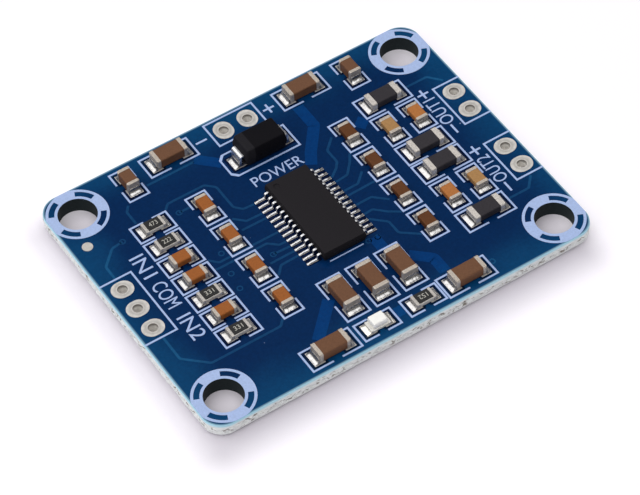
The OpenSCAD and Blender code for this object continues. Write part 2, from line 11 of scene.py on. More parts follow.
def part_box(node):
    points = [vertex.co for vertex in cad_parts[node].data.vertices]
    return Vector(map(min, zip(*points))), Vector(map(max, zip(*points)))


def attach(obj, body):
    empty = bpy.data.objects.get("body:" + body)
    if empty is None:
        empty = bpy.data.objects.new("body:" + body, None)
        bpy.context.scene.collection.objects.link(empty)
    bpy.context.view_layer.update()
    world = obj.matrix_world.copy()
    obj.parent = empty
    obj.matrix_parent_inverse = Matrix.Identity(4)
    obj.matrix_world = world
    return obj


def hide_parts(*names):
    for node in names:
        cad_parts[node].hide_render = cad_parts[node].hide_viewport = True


bl_info = {
    "name": "Audio amplifier board",
    "version": (1, 0, 0),
    "blender": (4, 5, 0),
    "location": "View3D > Sidebar > Amplifier",
    "description": "Builds the looks of a small stereo amplifier board around its CAD frame",
    "category": "Object",
}

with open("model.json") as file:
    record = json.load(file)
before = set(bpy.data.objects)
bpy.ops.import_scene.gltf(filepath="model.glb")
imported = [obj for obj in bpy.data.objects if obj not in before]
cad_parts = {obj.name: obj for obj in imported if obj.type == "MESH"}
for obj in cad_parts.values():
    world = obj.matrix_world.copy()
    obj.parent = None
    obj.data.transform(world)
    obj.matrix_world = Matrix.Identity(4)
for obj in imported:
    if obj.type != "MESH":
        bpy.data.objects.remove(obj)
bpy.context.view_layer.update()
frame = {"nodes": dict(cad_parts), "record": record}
MM = 0.001


def linear(code):
    """Linear RGBA of an sRGB hex code."""
    parts = [int(code[i:i + 2], 16) / 255 for i in (1, 3, 5)]
    return tuple(p / 12.92 if p <= 0.04045 else ((p + 0.055) / 1.055) ** 2.4 for p in parts) + (1.0,)


def length(name, text, mm):
    """Size property, given in millimetres and kept in metres."""
    return FloatProperty(name=name, description=text, default=mm * MM, min=0.0, precision=5, unit="LENGTH")


def shade(name, text, code):
    """Colour property with an sRGB hex default."""
    return FloatVectorProperty(name=name, description=text, default=linear(code), size=4, min=0.0, max=1.0,
                               subtype="COLOR")


class BoardSizes(bpy.types.PropertyGroup):
    """Sizes of what is added to the CAD frame."""
    corner: length("Corner radius", "Radius of the board's corners", 2.0)
    outline_step: length("Outline step", "Distance between points along the board's edge", 0.11)
    score_depth: length("Score depth", "Depth of the groove that the board was broken along", 0.42)
    score_inset: length("Score inset", "Half width of that groove at the board's upper face", 0.07)
    lower_inset: length("Lower inset", "Half width of the groove at the board's underside", 0.26)
    pit_depth: length("Pit depth", "Depth of the pits in the broken web", 0.24)
    pit_size: length("Pit size", "Length of a pit along the edge", 0.55)
    signal_width: length("Signal width", "Width of a signal track", 0.24)
    supply_width: length("Supply width", "Width of a supply track", 1.1)
    track_rise: length("Track rise", "Height of the mask over a track", 0.012)
    track_bend: length("Track bend", "Radius of a track's bends", 0.35)
    via_radius: length("Via radius", "Outer radius of a masked via", 0.33)
    clearance: length("Clearance", "Bare laminate round a pad, under the mask", 0.24)
    small_toe: length("Small toe", "Solder beyond a small part's end", 0.45)
    large_toe: length("Large toe", "Solder beyond a large part's end", 0.5)
    lead_toe: length("Lead toe", "Solder beyond a lead's tip", 0.42)
    plating: length("Plating", "Thickness of an end cap's plating", 0.03)
    ripple: length("Ripple", "Unevenness of the solder's surface", 0.03)
    chip_edge: length("Chip edge", "Radius of the chip's moulded edges", 0.05)
    diode_edge: length("Diode edge", "Radius of the diode's moulded edges", 0.16)
    lens_edge: length("Lens edge", "Radius of the lamp lens's edges", 0.1)
    dimple_radius: length("Dimple radius", "Radius of the dimple that marks the first lead", 0.3)
    dimple_depth: length("Dimple depth", "Depth of that dimple", 0.1)
    dimple_inset: length("Dimple inset", "Distance of the dimple's middle from the chip's two edges", 0.8)
    ink: length("Ink", "Thickness of the printed words", 0.02)
    sign_arm: length("Sign arm", "Length of a polarity sign's bars", 1.15)
    sign_stroke: length("Sign stroke", "Width of those bars", 0.2)
    digits_width: length("Digits width", "Width of a resistor's number", 0.85)
    digits_height: length("Digits height", "Height of that number", 0.48)
    enamel: length("Enamel", "Thickness of that number", 0.01)
    eyelet_long: length("Eyelet length", "Length of a wire hole's oval pad", 2.1)
    eyelet_wide: length("Eyelet width", "Width of that pad", 1.8)
    eyelet_wall: length("Eyelet wall", "Thickness of a wire hole's plating", 0.05)
    eyelet_seat: length("Eyelet seat", "Depth of the lower pad in the underside", 0.04)
    film: length("Film", "Thickness of the mask over a clearance", 0.007)
    film_sink: length("Film sink", "Part of that thickness below the board's face", 0.002)
    pad_heel: length("Pad heel", "Length of a pad under its part's end", 0.55)
    chip_row: length("Chip row", "Width of the clearance along a row of the chip's pads", 1.5)
    chip_parting: length("Chip parting", "Height of the straight band round the chip", 0.13)
    diode_parting: length("Diode parting", "Height of the straight band round the diode", 0.2)
    lens_parting: length("Lens parting", "Height of the straight band round the lens", 0.03)
    lead_pitch: length("Lead pitch", "Pitch of the chip's leads", 0.65)
    lead_width: length("Lead width", "Width of one of the chip's leads", 0.2)
    lead_thickness: length("Lead thickness", "Thickness of a lead", 0.13)
    lead_leg: length("Lead leg", "Distance of a lead's leg from the chip's side", 0.36)
    lead_bend: length("Lead bend", "Radius of a lead's bends at its middle", 0.155)
    lead_edge: length("Lead edge", "Radius of a lead's long edges", 0.035)
    lead_count: IntProperty(name="Leads", description="Leads on each side of the chip", default=14, min=1)
    solder_rise: FloatProperty(name="Solder rise", description="Share of a part's end that the solder climbs",
                               default=0.5, min=0.0, max=1.0, subtype="FACTOR")
    draft: FloatProperty(name="Draft", description="Slope of the moulded bodies' sides", default=math.radians(10),
                         min=0.0, subtype="ANGLE")


class BoardColours(bpy.types.PropertyGroup):
    """Colours of the finishes."""
    mask: shade("Mask", "Solder mask over the copper plane", "#032752")
    mask_rim: shade("Mask rim", "Solder mask over the copper plane, near the board's edges", "#073e69")
    bare: shade("Mask over laminate", "Solder mask over bare laminate, round the pads", "#0a1838")
    bare_rim: shade("Mask over laminate, rim", "The same film near the board's edges", "#0a2440")
    signal: shade("Mask over signal tracks", "Solder mask over a signal track", "#123f69")
    signal_rim: shade("Mask over signal tracks, rim", "The same film near the board's edges", "#1a5884")
    supply: shade("Mask over supply tracks", "Solder mask over a supply track", "#02366f")
    supply_rim: shade("Mask over supply tracks, rim", "The same film near the board's edges", "#07487c")
    dust: shade("Dust", "Specks of dust on the mask", "#a9bde6")
    glass: shade("Laminate", "Broken edge of the glass-epoxy laminate", "#f3f6f5")
    # Painted shade: the colour of the torn hollows in the broken edge stands in for their shade.
    glass_hollow_shade: shade("Hollow", "Dark hollows torn into the broken edge", "#8a847d")
    # Painted highlight: a pale cyan band along the lip of the scored edge.
    lip: shade("Lip", "Mask on the lip of the scored edge", "#b2e0f1")
    # Painted shade: the wall of a mounting hole is painted nearly black.
    hole: shade("Hole wall", "Drilled wall of a mounting hole", "#1a2426")
    ink: shade("Ink", "Screen-printed ink", "#a9bde6")
    tin: shade("Tin", "Levelled tin of the pads", "#c6c1bb")
    tin_outer: shade("Tin, outer", "Outer part of a wire hole's pad", "#cfcbc6")
    # A darker ring round the wire hole.
    tin_inner: shade("Tin, inner", "Inner part of that pad, where the tin is thin", "#b7b3ae")
    # Painted highlight on the wire hole's rim.
    tin_rim_highlight: shade("Tin, rim", "Rim of the wire hole", "#cdc9c4")
    # Painted shadow line below that rim.
    tin_shadow_line: shade("Tin, line", "Dark line below that rim", "#837d77")
    # Painted light: the bore is painted far brighter than the tin.
    tin_bore_painted_light: shade("Tin, bore", "Plated wall of the wire hole", "#f6f3ee")
    strip: shade("Strip", "Tinned strip of the leads and terminals", "#e4e4e6")
    cap: shade("Capacitor caps", "Plating of the capacitors' ends", "#c3b8ac")
    resistor_cap: shade("Resistor caps", "Plating of the resistors' ends", "#c2bcb6")
    bead_cap: shade("Bead caps", "Plating of the beads' ends", "#d3ccc5")
    lamp_cap: shade("Lamp terminals", "Plating of the lamp's ends", "#e4e1dc")
    solder: shade("Solder", "Reflowed solder", "#cfcdcc")
    # Painted dark reflection on a fillet's steep neck and in spots among its folds.
    solder_painted_reflection: shade("Solder neck", "Steep part of a fillet, under a film of flux", "#7d7771")
    # Painted light: the solder at the lamp is painted paler than the rest.
    lamp_solder: shade("Lamp solder", "Solder at the lamp, lit by its white body", "#efece5")
    # Painted dark reflection on that solder's steep neck.
    lamp_solder_painted_reflection: shade("Lamp solder neck", "Steep part of that solder", "#cfcac0")
    epoxy: shade("Epoxy", "Moulded body of the chip", "#252326")
    diode: shade("Diode epoxy", "Moulded body of the diode", "#151418")
    diode_mark: shade("Diode mark", "Polarity band on the diode", "#252428")
    glaze: shade("Overcoat", "Glass over the resistors' films", "#1b1a1a")
    digits: shade("Digits", "Numbers printed on the resistors", "#b9b6ad")
    alumina: shade("Alumina", "Ceramic of the resistors", "#d2cdc6")
    lens: shade("Lens", "Milky epoxy of the lamp's lens", "#fdfbf6")
    lamp_base: shade("Lamp base", "Laminate below the lens", "#f1eee6")
    tan: shade("Tan ceramic", "Capacitors on the input side", "#9b5b2c")
    dark_brown: shade("Dark brown ceramic", "Capacitors on the output side of the chip", "#603a20")
    orange: shade("Orange ceramic", "Two of the capacitors between the beads", "#b0703c")
    pale: shade("Pale ceramic", "The other two capacitors between the beads", "#a98052")
    brown: shade("Brown ceramic", "Supply capacitors and corner capacitors", "#6f4d38")
    ferrite: shade("Ferrite", "Bodies of the beads", "#363337")
    floor: shade("Floor", "Plain floor below the board", "#dbd6de")


class StageSettings(bpy.types.PropertyGroup):
    """Camera, light and floor."""
    camera_place: FloatVectorProperty(name="Camera", description="Place of the camera",
                                      default=(-0.094264, -0.152735, 0.215920), subtype="TRANSLATION",
                                      unit="LENGTH")
    camera_turn: FloatVectorProperty(name="Camera turn", description="Turn of the camera",
                                     default=(0.686921, 0.023212, -0.583006), subtype="EULER", unit="ROTATION")
    lens: FloatProperty(name="Lens", description="Focal length in millimetres", default=178.3, min=1.0)
    softbox: length("Softbox", "Side of the square light above the board", 1000)
    softbox_place: FloatVectorProperty(name="Softbox place", description="Middle of the light above the board",
                                       default=(-0.15, 0.03, 0.5), subtype="TRANSLATION", unit="LENGTH")
    softbox_power: FloatProperty(name="Softbox power", description="Power of the light", default=4.5, unit="POWER")
    sky: FloatProperty(name="Sky", description="Strength of the surroundings as a light", default=0.24, min=0.0)
    floor_reach: length("Floor reach", "Half side of the floor", 5000)
    floor_gap: length("Floor gap", "Gap between the board and the floor", 0.01)
    floor_lift: FloatProperty(name="Floor lift", description="Light the floor gives off outside the shadow",
                              default=0.36, min=0.0)
    shadow_left: length("Shadow left", "Distance of the shadow's middle to the left of the board's", 1.0)
    shadow_front: length("Shadow front", "Distance of the shadow's middle in front of the board's", 1.55)
    shadow_long: length("Shadow length", "Half length of the floor without that light", 18.5)
    shadow_wide: length("Shadow width", "Half width of the floor without that light", 14.05)
    shadow_fade: length("Shadow fade", "Distance over which that light comes in", 3.5)
    white_near: length("White from", "Distance at which the floor starts to turn plain white", 40)
    white_far: length("White to", "Distance at which the floor is plain white", 90)


def add(tree, kind, inputs=None, **settings):
    """Adds a node with its settings. An input is a value, or a socket that is linked to it."""
    node = tree.nodes.new(kind)
    for name, value in settings.items():
        setattr(node, name, value)
    for key, value in (inputs or {}).items():
        if isinstance(value, bpy.types.NodeSocket):
            tree.links.new(value, node.inputs[key])
        else:
            node.inputs[key].default_value = value
    return node


def tinted(colour, factor):
    """Colour with its brightness multiplied."""
    return tuple(min(1.0, c * factor) for c in colour[:3]) + (1.0,)


def blank(name):
    """Empty node material and its tree."""
    material = bpy.data.materials.new(name)
    material.use_nodes = True
    material.node_tree.nodes.clear()
    return material, material.node_tree


def surface(name, colour, tone, grain, rough, relief, **constants):
    """Finish whose tone, roughness and relief follow noise with a grain size in metres."""
    material, tree = blank(name)
    place = add(tree, "ShaderNodeTexCoord").outputs["Object"]
    noise_node = add(tree, "ShaderNodeTexNoise", {"Vector": place, "Scale": 1 / grain, "Detail": 5.0,
                                                  "Roughness": 0.6})
    grains = add(tree, "ShaderNodeMapRange", {0: noise_node.outputs["Fac"], 1: 0.3, 2: 0.7}).outputs[0]
    tones = add(tree, "ShaderNodeMix", {0: grains, 6: tinted(colour, 1 - tone), 7: tinted(colour, 1 + tone)},
                data_type="RGBA").outputs[2]
    gloss = add(tree, "ShaderNodeMapRange", {0: grains, 3: rough[0], 4: rough[1]}).outputs[0]
    bump = add(tree, "ShaderNodeBump", {"Height": grains, "Distance": relief}).outputs[0]
    inputs = {"Base Color": tones, "Roughness": gloss, "Normal": bump}
    inputs.update({key.replace("_", " "): value for key, value in constants.items()})
    shader = add(tree, "ShaderNodeBsdfPrincipled", inputs)
    add(tree, "ShaderNodeOutputMaterial", {"Surface": shader.outputs[0]})
    return material


def outside(tree, place, long, wide):
    """Distance of a place from a rectangle of two half sides, nothing inside it."""
    size = add(tree, "ShaderNodeVectorMath", {0: place}, operation="ABSOLUTE").outputs[0]
    past = add(tree, "ShaderNodeVectorMath", {0: size, 1: (long, wide, 1.0)}, operation="SUBTRACT").outputs[0]
    beyond = add(tree, "ShaderNodeVectorMath", {0: past, 1: (0.0, 0.0, 0.0)}, operation="MAXIMUM").outputs[0]
    return add(tree, "ShaderNodeVectorMath", {0: beyond}, operation="LENGTH").outputs["Value"]


def mask_finish(name, colour, rim_colour, colours):
    """Liquid solder mask, screen coated and cured. It gives a deep satin blue, paler and greener towards the edges
    where light comes through the laminate, with soft mottling and dust, and a thin pale cyan band painted along
    the score's lip as a painted highlight."""
    cloud_size, rim_wander, rim_from, rim_to = 7 * MM, 5 * MM, 2.2 * MM, 7.2 * MM
    grain, relief, dust_pitch = 0.25 * MM, 0.002 * MM, 2.6 * MM
    highlight_from, highlight_to, highlight_share = 0.26 * MM, 0.08 * MM, 0.6
    material, tree = blank("solder mask, cured over " + name)
    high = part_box("circuit_board")[1]
    corner = bpy.context.scene.board_sizes.corner
    place = add(tree, "ShaderNodeTexCoord").outputs["Object"]
    axes = add(tree, "ShaderNodeSeparateXYZ", {0: place}).outputs
    spans = []
    for axis, half in ((axes[0], high.x), (axes[1], high.y)):
        away = add(tree, "ShaderNodeMath", {0: axis}, operation="ABSOLUTE").outputs[0]
        spans.append(add(tree, "ShaderNodeMath", {0: half, 1: away}, operation="SUBTRACT").outputs[0])
    inset = add(tree, "ShaderNodeMath", {0: spans[0], 1: spans[1]}, operation="MINIMUM").outputs[0]
    cloud = add(tree, "ShaderNodeTexNoise", {"Vector": place, "Scale": 1 / cloud_size,
                                             "Detail": 2.0}).outputs["Fac"]
    wander = add(tree, "ShaderNodeMath", {0: cloud, 1: rim_wander, 2: inset}, operation="MULTIPLY_ADD").outputs[0]
    rim = add(tree, "ShaderNodeMapRange", {0: wander, 1: rim_from, 2: rim_to, 3: 1.0, 4: 0.0},
              interpolation_type="SMOOTHSTEP").outputs[0]
    base = add(tree, "ShaderNodeMix", {0: rim, 6: tuple(colour), 7: tuple(rim_colour)},
               data_type="RGBA").outputs[2]
    fine = add(tree, "ShaderNodeTexNoise", {"Vector": place, "Scale": 1 / grain, "Detail": 3.0}).outputs["Fac"]
    tone = add(tree, "ShaderNodeMapRange", {0: fine, 1: 0.3, 2: 0.7, 3: 0.9, 4: 1.1}).outputs[0]
    toned = add(tree, "ShaderNodeVectorMath", {0: base, 3: tone}, operation="SCALE").outputs[0]
    dust = add(tree, "ShaderNodeTexVoronoi", {"Vector": place, "Scale": 1 / dust_pitch}).outputs["Distance"]
    speck = add(tree, "ShaderNodeMapRange", {0: dust, 1: 0.018, 2: 0.03, 3: 0.55, 4: 0.0}).outputs[0]
    dusted = add(tree, "ShaderNodeMix", {0: speck, 6: toned, 7: tuple(colours.dust)},
                 data_type="RGBA").outputs[2]
    # Painted highlight: a pale cyan band along the board's outer edge, at the score's lip.
    past = outside(tree, place, high.x - corner, high.y - corner)
    lip = add(tree, "ShaderNodeMapRange", {0: past, 1: corner - highlight_from, 2: corner - highlight_to,
                                           4: highlight_share}).outputs[0]
    highlighted = add(tree, "ShaderNodeMix", {0: lip, 6: dusted, 7: tuple(colours.lip)}, data_type="RGBA").outputs[2]
    gloss = add(tree, "ShaderNodeMapRange", {0: cloud, 1: 0.3, 2: 0.7, 3: 0.24, 4: 0.36}).outputs[0]
    bump = add(tree, "ShaderNodeBump", {"Height": fine, "Distance": relief}).outputs[0]
    shader = add(tree, "ShaderNodeBsdfPrincipled", {"Base Color": highlighted, "Roughness": gloss, "Normal": bump,
                                                    "Specular IOR Level": 0.03})
    add(tree, "ShaderNodeOutputMaterial", {"Surface": shader.outputs[0]})
    return material


def edge_finish(colours):
    """Glass-epoxy laminate, scored and broken off its panel. The score is smooth and pale with a painted pale cyan
    highlight along its lip, and the web between shows torn glass whose long hollows are darkened as painted shade."""
    tear, relief, web_inner, web_outer = 0.75 * MM, 0.08 * MM, 0.22 * MM, 0.42 * MM
    highlight_from, highlight_to = 0.36 * MM, 0.12 * MM
    material, tree = blank("glass-epoxy laminate, broken")
    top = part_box("circuit_board")[1].z
    place = add(tree, "ShaderNodeTexCoord").outputs["Object"]
    height = add(tree, "ShaderNodeSeparateXYZ", {0: place}).outputs[2]
    stretched = add(tree, "ShaderNodeVectorMath", {0: place, 1: (1.0, 1.0, 3.6)}, operation="MULTIPLY").outputs[0]
    torn = add(tree, "ShaderNodeTexNoise", {"Vector": stretched, "Scale": 1 / tear, "Detail": 4.0,
                                            "Roughness": 0.62}).outputs["Fac"]
    middle = add(tree, "ShaderNodeMath", {0: height, 1: top / 2}, operation="SUBTRACT").outputs[0]
    away = add(tree, "ShaderNodeMath", {0: middle}, operation="ABSOLUTE").outputs[0]
    web = add(tree, "ShaderNodeMapRange", {0: away, 1: web_inner, 2: web_outer, 3: 1.0, 4: 0.0}).outputs[0]
    # Painted shade: the web's hollows are painted dark.
    hollow = add(tree, "ShaderNodeMapRange", {0: torn, 1: 0.53, 2: 0.62}).outputs[0]
    dark = add(tree, "ShaderNodeMath", {0: web, 1: hollow}, operation="MULTIPLY").outputs[0]
    pale = add(tree, "ShaderNodeMix", {0: torn, 6: tinted(colours.glass, 0.86), 7: tinted(colours.glass, 1.06)},
               data_type="RGBA").outputs[2]
    broken = add(tree, "ShaderNodeMix", {0: dark, 6: pale, 7: tuple(colours.glass_hollow_shade)},
                 data_type="RGBA").outputs[2]
    # Painted highlight: pale cyan at the top of the edge, along the score's lip.
    lip = add(tree, "ShaderNodeMapRange", {0: height, 1: top - highlight_from, 2: top - highlight_to}).outputs[0]
    lip_highlighted = add(tree, "ShaderNodeMix", {0: lip, 6: broken, 7: tuple(colours.lip)}, data_type="RGBA").outputs[2]
    bump = add(tree, "ShaderNodeBump", {"Height": torn, "Distance": relief}).outputs[0]
    shader = add(tree, "ShaderNodeBsdfPrincipled", {"Base Color": lip_highlighted, "Roughness": 0.7, "Normal": bump,
                                                    "Specular IOR Level": 0.3})
    add(tree, "ShaderNodeOutputMaterial", {"Surface": shader.outputs[0]})
    return material


def hole_shade_finish(colours):
    """Laminate as drilled, painted nearly black as painted shade inside the hole, with faint rings where the drill
    crossed the glass layers.
    """
    layer, relief = 0.16 * MM, 0.02 * MM
    material, tree = blank("glass-epoxy laminate, drilled")
    place = add(tree, "ShaderNodeTexCoord").outputs["Object"]
    flat = add(tree, "ShaderNodeVectorMath", {0: place, 1: (0.3, 0.3, 1.0)}, operation="MULTIPLY").outputs[0]
    rings = add(tree, "ShaderNodeTexNoise", {"Vector": flat, "Scale": 1 / layer, "Detail": 3.0}).outputs["Fac"]
    tones = add(tree, "ShaderNodeMix", {0: rings, 6: tinted(colours.hole, 0.6), 7: tinted(colours.hole, 1.6)},
                data_type="RGBA").outputs[2]
    bump = add(tree, "ShaderNodeBump", {"Height": rings, "Distance": relief}).outputs[0]
    shader = add(tree, "ShaderNodeBsdfPrincipled", {"Base Color": tones, "Roughness": 0.62, "Normal": bump,
                                                    "Specular IOR Level": 0.15})
    add(tree, "ShaderNodeOutputMaterial", {"Surface": shader.outputs[0]})
    return material


def diode_finish(colours):
    """Transfer-moulded epoxy: black with a fine grain, and a greyer band etched across its marked end."""
    grain_size, relief, band_end, band_blur = 0.09 * MM, 0.006 * MM, 0.92 * MM, 0.06 * MM
    material, tree = blank("epoxy, transfer moulded and etched")
    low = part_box("diode_body")[0]
    place = add(tree, "ShaderNodeTexCoord").outputs["Object"]
    along = add(tree, "ShaderNodeSeparateXYZ", {0: place}).outputs[0]
    mark = add(tree, "ShaderNodeMapRange", {0: along, 1: low.x + band_end, 2: low.x + band_end + band_blur,
                                            3: 1.0, 4: 0.0})
    base = add(tree, "ShaderNodeMix", {0: mark.outputs[0], 6: tuple(colours.diode), 7: tuple(colours.diode_mark)},
               data_type="RGBA").outputs[2]
    grain = add(tree, "ShaderNodeTexNoise", {"Vector": place, "Scale": 1 / grain_size,
                                             "Detail": 4.0}).outputs["Fac"]
    tone = add(tree, "ShaderNodeMapRange", {0: grain, 1: 0.3, 2: 0.7, 3: 0.85, 4: 1.15}).outputs[0]
    toned = add(tree, "ShaderNodeVectorMath", {0: base, 3: tone}, operation="SCALE").outputs[0]
    gloss = add(tree, "ShaderNodeMapRange", {0: grain, 1: 0.3, 2: 0.7, 3: 0.5, 4: 0.7}).outputs[0]
    bump = add(tree, "ShaderNodeBump", {"Height": grain, "Distance": relief}).outputs[0]
    shader = add(tree, "ShaderNodeBsdfPrincipled", {"Base Color": toned, "Roughness": gloss, "Normal": bump,
                                                    "Specular IOR Level": 0.04})
    add(tree, "ShaderNodeOutputMaterial", {"Surface": shader.outputs[0]})
    return material


def eyelet_finish(node, colours):
    """Tin levelled by hot air round plated holes. Its bore is painted bright as painted light against the darkness
    inside, with a painted shadow line below its rim and a painted highlight on the rim, then a duller ring round
    the hole and a paler outer edge, all a little cloudy."""
    cloud, relief, shadow_line_full, shadow_line_end = 0.3 * MM, 0.03 * MM, 0.1 * MM, 0.42 * MM
    # The first ring is a painted highlight on the rim.
    # Rings round a hole, as (radius where a ring begins, radius where it is full, colour)
    rings = ((0.455 * MM, 0.475 * MM, colours.tin_rim_highlight), (0.5 * MM, 0.6 * MM, colours.tin_inner),
             (0.66 * MM, 0.86 * MM, colours.tin_outer))
    material, tree = blank("tin, levelled in " + node)
    low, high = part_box(node)
    place = add(tree, "ShaderNodeTexCoord").outputs["Object"]
    height = add(tree, "ShaderNodeSeparateXYZ", {0: place}).outputs[2]
    flat = add(tree, "ShaderNodeVectorMath", {0: place, 1: (1.0, 1.0, 0.0)}, operation="MULTIPLY").outputs[0]
    nearest = (high - low).length
    for mount in frame["record"]["mounts"]:
        x, y = mount["pos_m"][:2]
        if mount["kind"] == "bore" and low.x < x < high.x and low.y < y < high.y:
            away = add(tree, "ShaderNodeVectorMath", {0: flat, 1: (x, y, 0.0)},
                       operation="DISTANCE").outputs["Value"]
            nearest = add(tree, "ShaderNodeMath", {0: away, 1: nearest}, operation="MINIMUM").outputs[0]
    # Painted shadow line below the rim, on a bore painted bright as painted light.
    line = add(tree, "ShaderNodeMapRange", {0: height, 1: high.z - shadow_line_end, 2: high.z - shadow_line_full}).outputs[0]
    base = add(tree, "ShaderNodeMix", {0: line, 6: tuple(colours.tin_bore_painted_light), 7: tuple(colours.tin_shadow_line)},
               data_type="RGBA").outputs[2]
    for start, full, colour in rings:
        step = add(tree, "ShaderNodeMapRange", {0: nearest, 1: start, 2: full}).outputs[0]
        base = add(tree, "ShaderNodeMix", {0: step, 6: base, 7: tuple(colour)}, data_type="RGBA").outputs[2]
    clouds = add(tree, "ShaderNodeTexNoise", {"Vector": place, "Scale": 1 / cloud, "Detail": 5.0}).outputs["Fac"]
    tone = add(tree, "ShaderNodeMapRange", {0: clouds, 1: 0.3, 2: 0.7, 3: 0.86, 4: 1.14}).outputs[0]
    toned = add(tree, "ShaderNodeVectorMath", {0: base, 3: tone}, operation="SCALE").outputs[0]
    gloss = add(tree, "ShaderNodeMapRange", {0: clouds, 1: 0.3, 2: 0.7, 3: 0.4, 4: 0.62}).outputs[0]
    bump = add(tree, "ShaderNodeBump", {"Height": clouds, "Distance": relief}).outputs[0]
    shader = add(tree, "ShaderNodeBsdfPrincipled", {"Base Color": toned, "Roughness": gloss, "Normal": bump,
                                                    "Metallic": 0.15})
    add(tree, "ShaderNodeOutputMaterial", {"Surface": shader.outputs[0]})
    return material


def solder_finish(name, colour, reflection_colour):
    """Reflowed solder: bright and wrinkled where it lies flat, with a painted dark reflection on its steep neck
    and in spots among its folds.
    """
    fold, relief = 0.22 * MM, 0.03 * MM
    material, tree = blank(name)
    place = add(tree, "ShaderNodeTexCoord").outputs["Object"]
    steep = add(tree, "ShaderNodeAttribute", attribute_name="steep").outputs["Fac"]
    folds = add(tree, "ShaderNodeTexNoise", {"Vector": place, "Scale": 1 / fold, "Detail": 4.0,
                                             "Roughness": 0.6}).outputs["Fac"]
    # Painted dark reflection: on the steep neck and in spots among the folds.
    dimples = add(tree, "ShaderNodeMapRange", {0: folds, 1: 0.58, 2: 0.7, 3: 0.0, 4: 0.6}).outputs[0]
    film = add(tree, "ShaderNodeMath", {0: steep, 1: dimples}, operation="MAXIMUM").outputs[0]
    base = add(tree, "ShaderNodeMix", {0: film, 6: tuple(colour), 7: tuple(reflection_colour)},
               data_type="RGBA").outputs[2]
    gloss = add(tree, "ShaderNodeMapRange", {0: folds, 1: 0.3, 2: 0.7, 3: 0.14, 4: 0.34}).outputs[0]
    bump = add(tree, "ShaderNodeBump", {"Height": folds, "Distance": relief}).outputs[0]
    shader = add(tree, "ShaderNodeBsdfPrincipled", {"Base Color": base, "Roughness": gloss, "Normal": bump,
                                                    "Metallic": 1.0})
    add(tree, "ShaderNodeOutputMaterial", {"Surface": shader.outputs[0]})
    return material


def dress(material, *names):
    """Gives CAD nodes their finish."""
    for name in names:
        frame["nodes"][name].material_slots[0].material = material


def family(stem):
    """Numbered nodes of one family, in order."""
    return sorted(n for n in frame["nodes"] if n.rpartition("_")[0] == stem and n.rpartition("_")[2].isdigit())


def show(name, mesh):
    """Object at the origin for a mesh whose place is in its points."""
    piece = bpy.data.objects.new(name, mesh)
    bpy.context.scene.collection.objects.link(piece)
    return piece


def settle(piece, slot, *nodes):
    """Fixes a piece to the board and hides the nodes it stands for; slot, the finish it takes, is not used."""
    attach(piece, "root")
    if nodes:
        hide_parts(*nodes)


def grown(name, mesh, tree, values):
    """Runs a geometry tree on a mesh and keeps the result as a plain mesh."""
    piece = show(name, mesh)
    modifier = piece.modifiers.new(name, "NODES")
    modifier.node_group = tree
    for item in tree.interface.items_tree:
        if item.in_out == "INPUT" and item.name in values:
            modifier[item.identifier] = values[item.name]
    graph = bpy.context.evaluated_depsgraph_get()
    result = bpy.data.meshes.new_from_object(piece.evaluated_get(graph), depsgraph=graph)
    if not result.polygons:
        raise RuntimeError(name + " came out empty")
    piece.modifiers.remove(modifier)
    piece.data = result
    result.name = name
    return piece


def geometry_tree(name, **inputs):
    """Geometry tree with named inputs, and its two end nodes."""
    tree = bpy.data.node_groups.new(name, "GeometryNodeTree")
    tree.interface.new_socket("Geometry", in_out="INPUT", socket_type="NodeSocketGeometry")
    for key, kind in inputs.items():
        tree.interface.new_socket(key.replace("_", " "), in_out="INPUT", socket_type="NodeSocket" + kind)
    tree.interface.new_socket("Geometry", in_out="OUTPUT", socket_type="NodeSocketGeometry")
    return tree, add(tree, "NodeGroupInput").outputs


def end_tree(tree, source, geometry):
    """Closes a geometry tree with plain geometry in its finish."""
    real = add(tree, "GeometryNodeRealizeInstances", {0: geometry}).outputs[0]
    finished = add(tree, "GeometryNodeSetMaterial", {0: real, 2: source["Finish"]}).outputs[0]
    add(tree, "NodeGroupOutput", {0: finished})
    return tree


def track_tree():
    """Tracks: each chain of edges becomes a low strip with sloping sides and rounded bends."""
    tree, source = geometry_tree("tracks", Width="Float", Rise="Float", Bend="Float", Finish="Material")
    curve = add(tree, "GeometryNodeMeshToCurve", {0: source["Geometry"]}).outputs[0]
    bent = add(tree, "GeometryNodeFilletCurve", {0: curve, 1: 4, 2: source["Bend"], 3: True},
               mode="POLY").outputs[0]
    level = add(tree, "GeometryNodeSetCurveNormal", {0: bent}, mode="Z_UP").outputs[0]
    crown = add(tree, "ShaderNodeMath", {0: source["Rise"], 1: -4.0, 2: source["Width"]},
                operation="MULTIPLY_ADD").outputs[0]
    depth = add(tree, "ShaderNodeMath", {0: source["Rise"], 1: 2.0}, operation="MULTIPLY").outputs[0]
    section = add(tree, "GeometryNodeCurvePrimitiveQuadrilateral",
                  {1: depth, 2: source["Width"], 3: crown, 4: 0.0}, mode="TRAPEZOID").outputs[0]
    strip = add(tree, "GeometryNodeCurveToMesh", {0: level, 1: section, 3: True}).outputs[0]
    flat = add(tree, "GeometryNodeSetShadeSmooth", {0: strip, 2: False}).outputs[0]
    return end_tree(tree, source, flat)


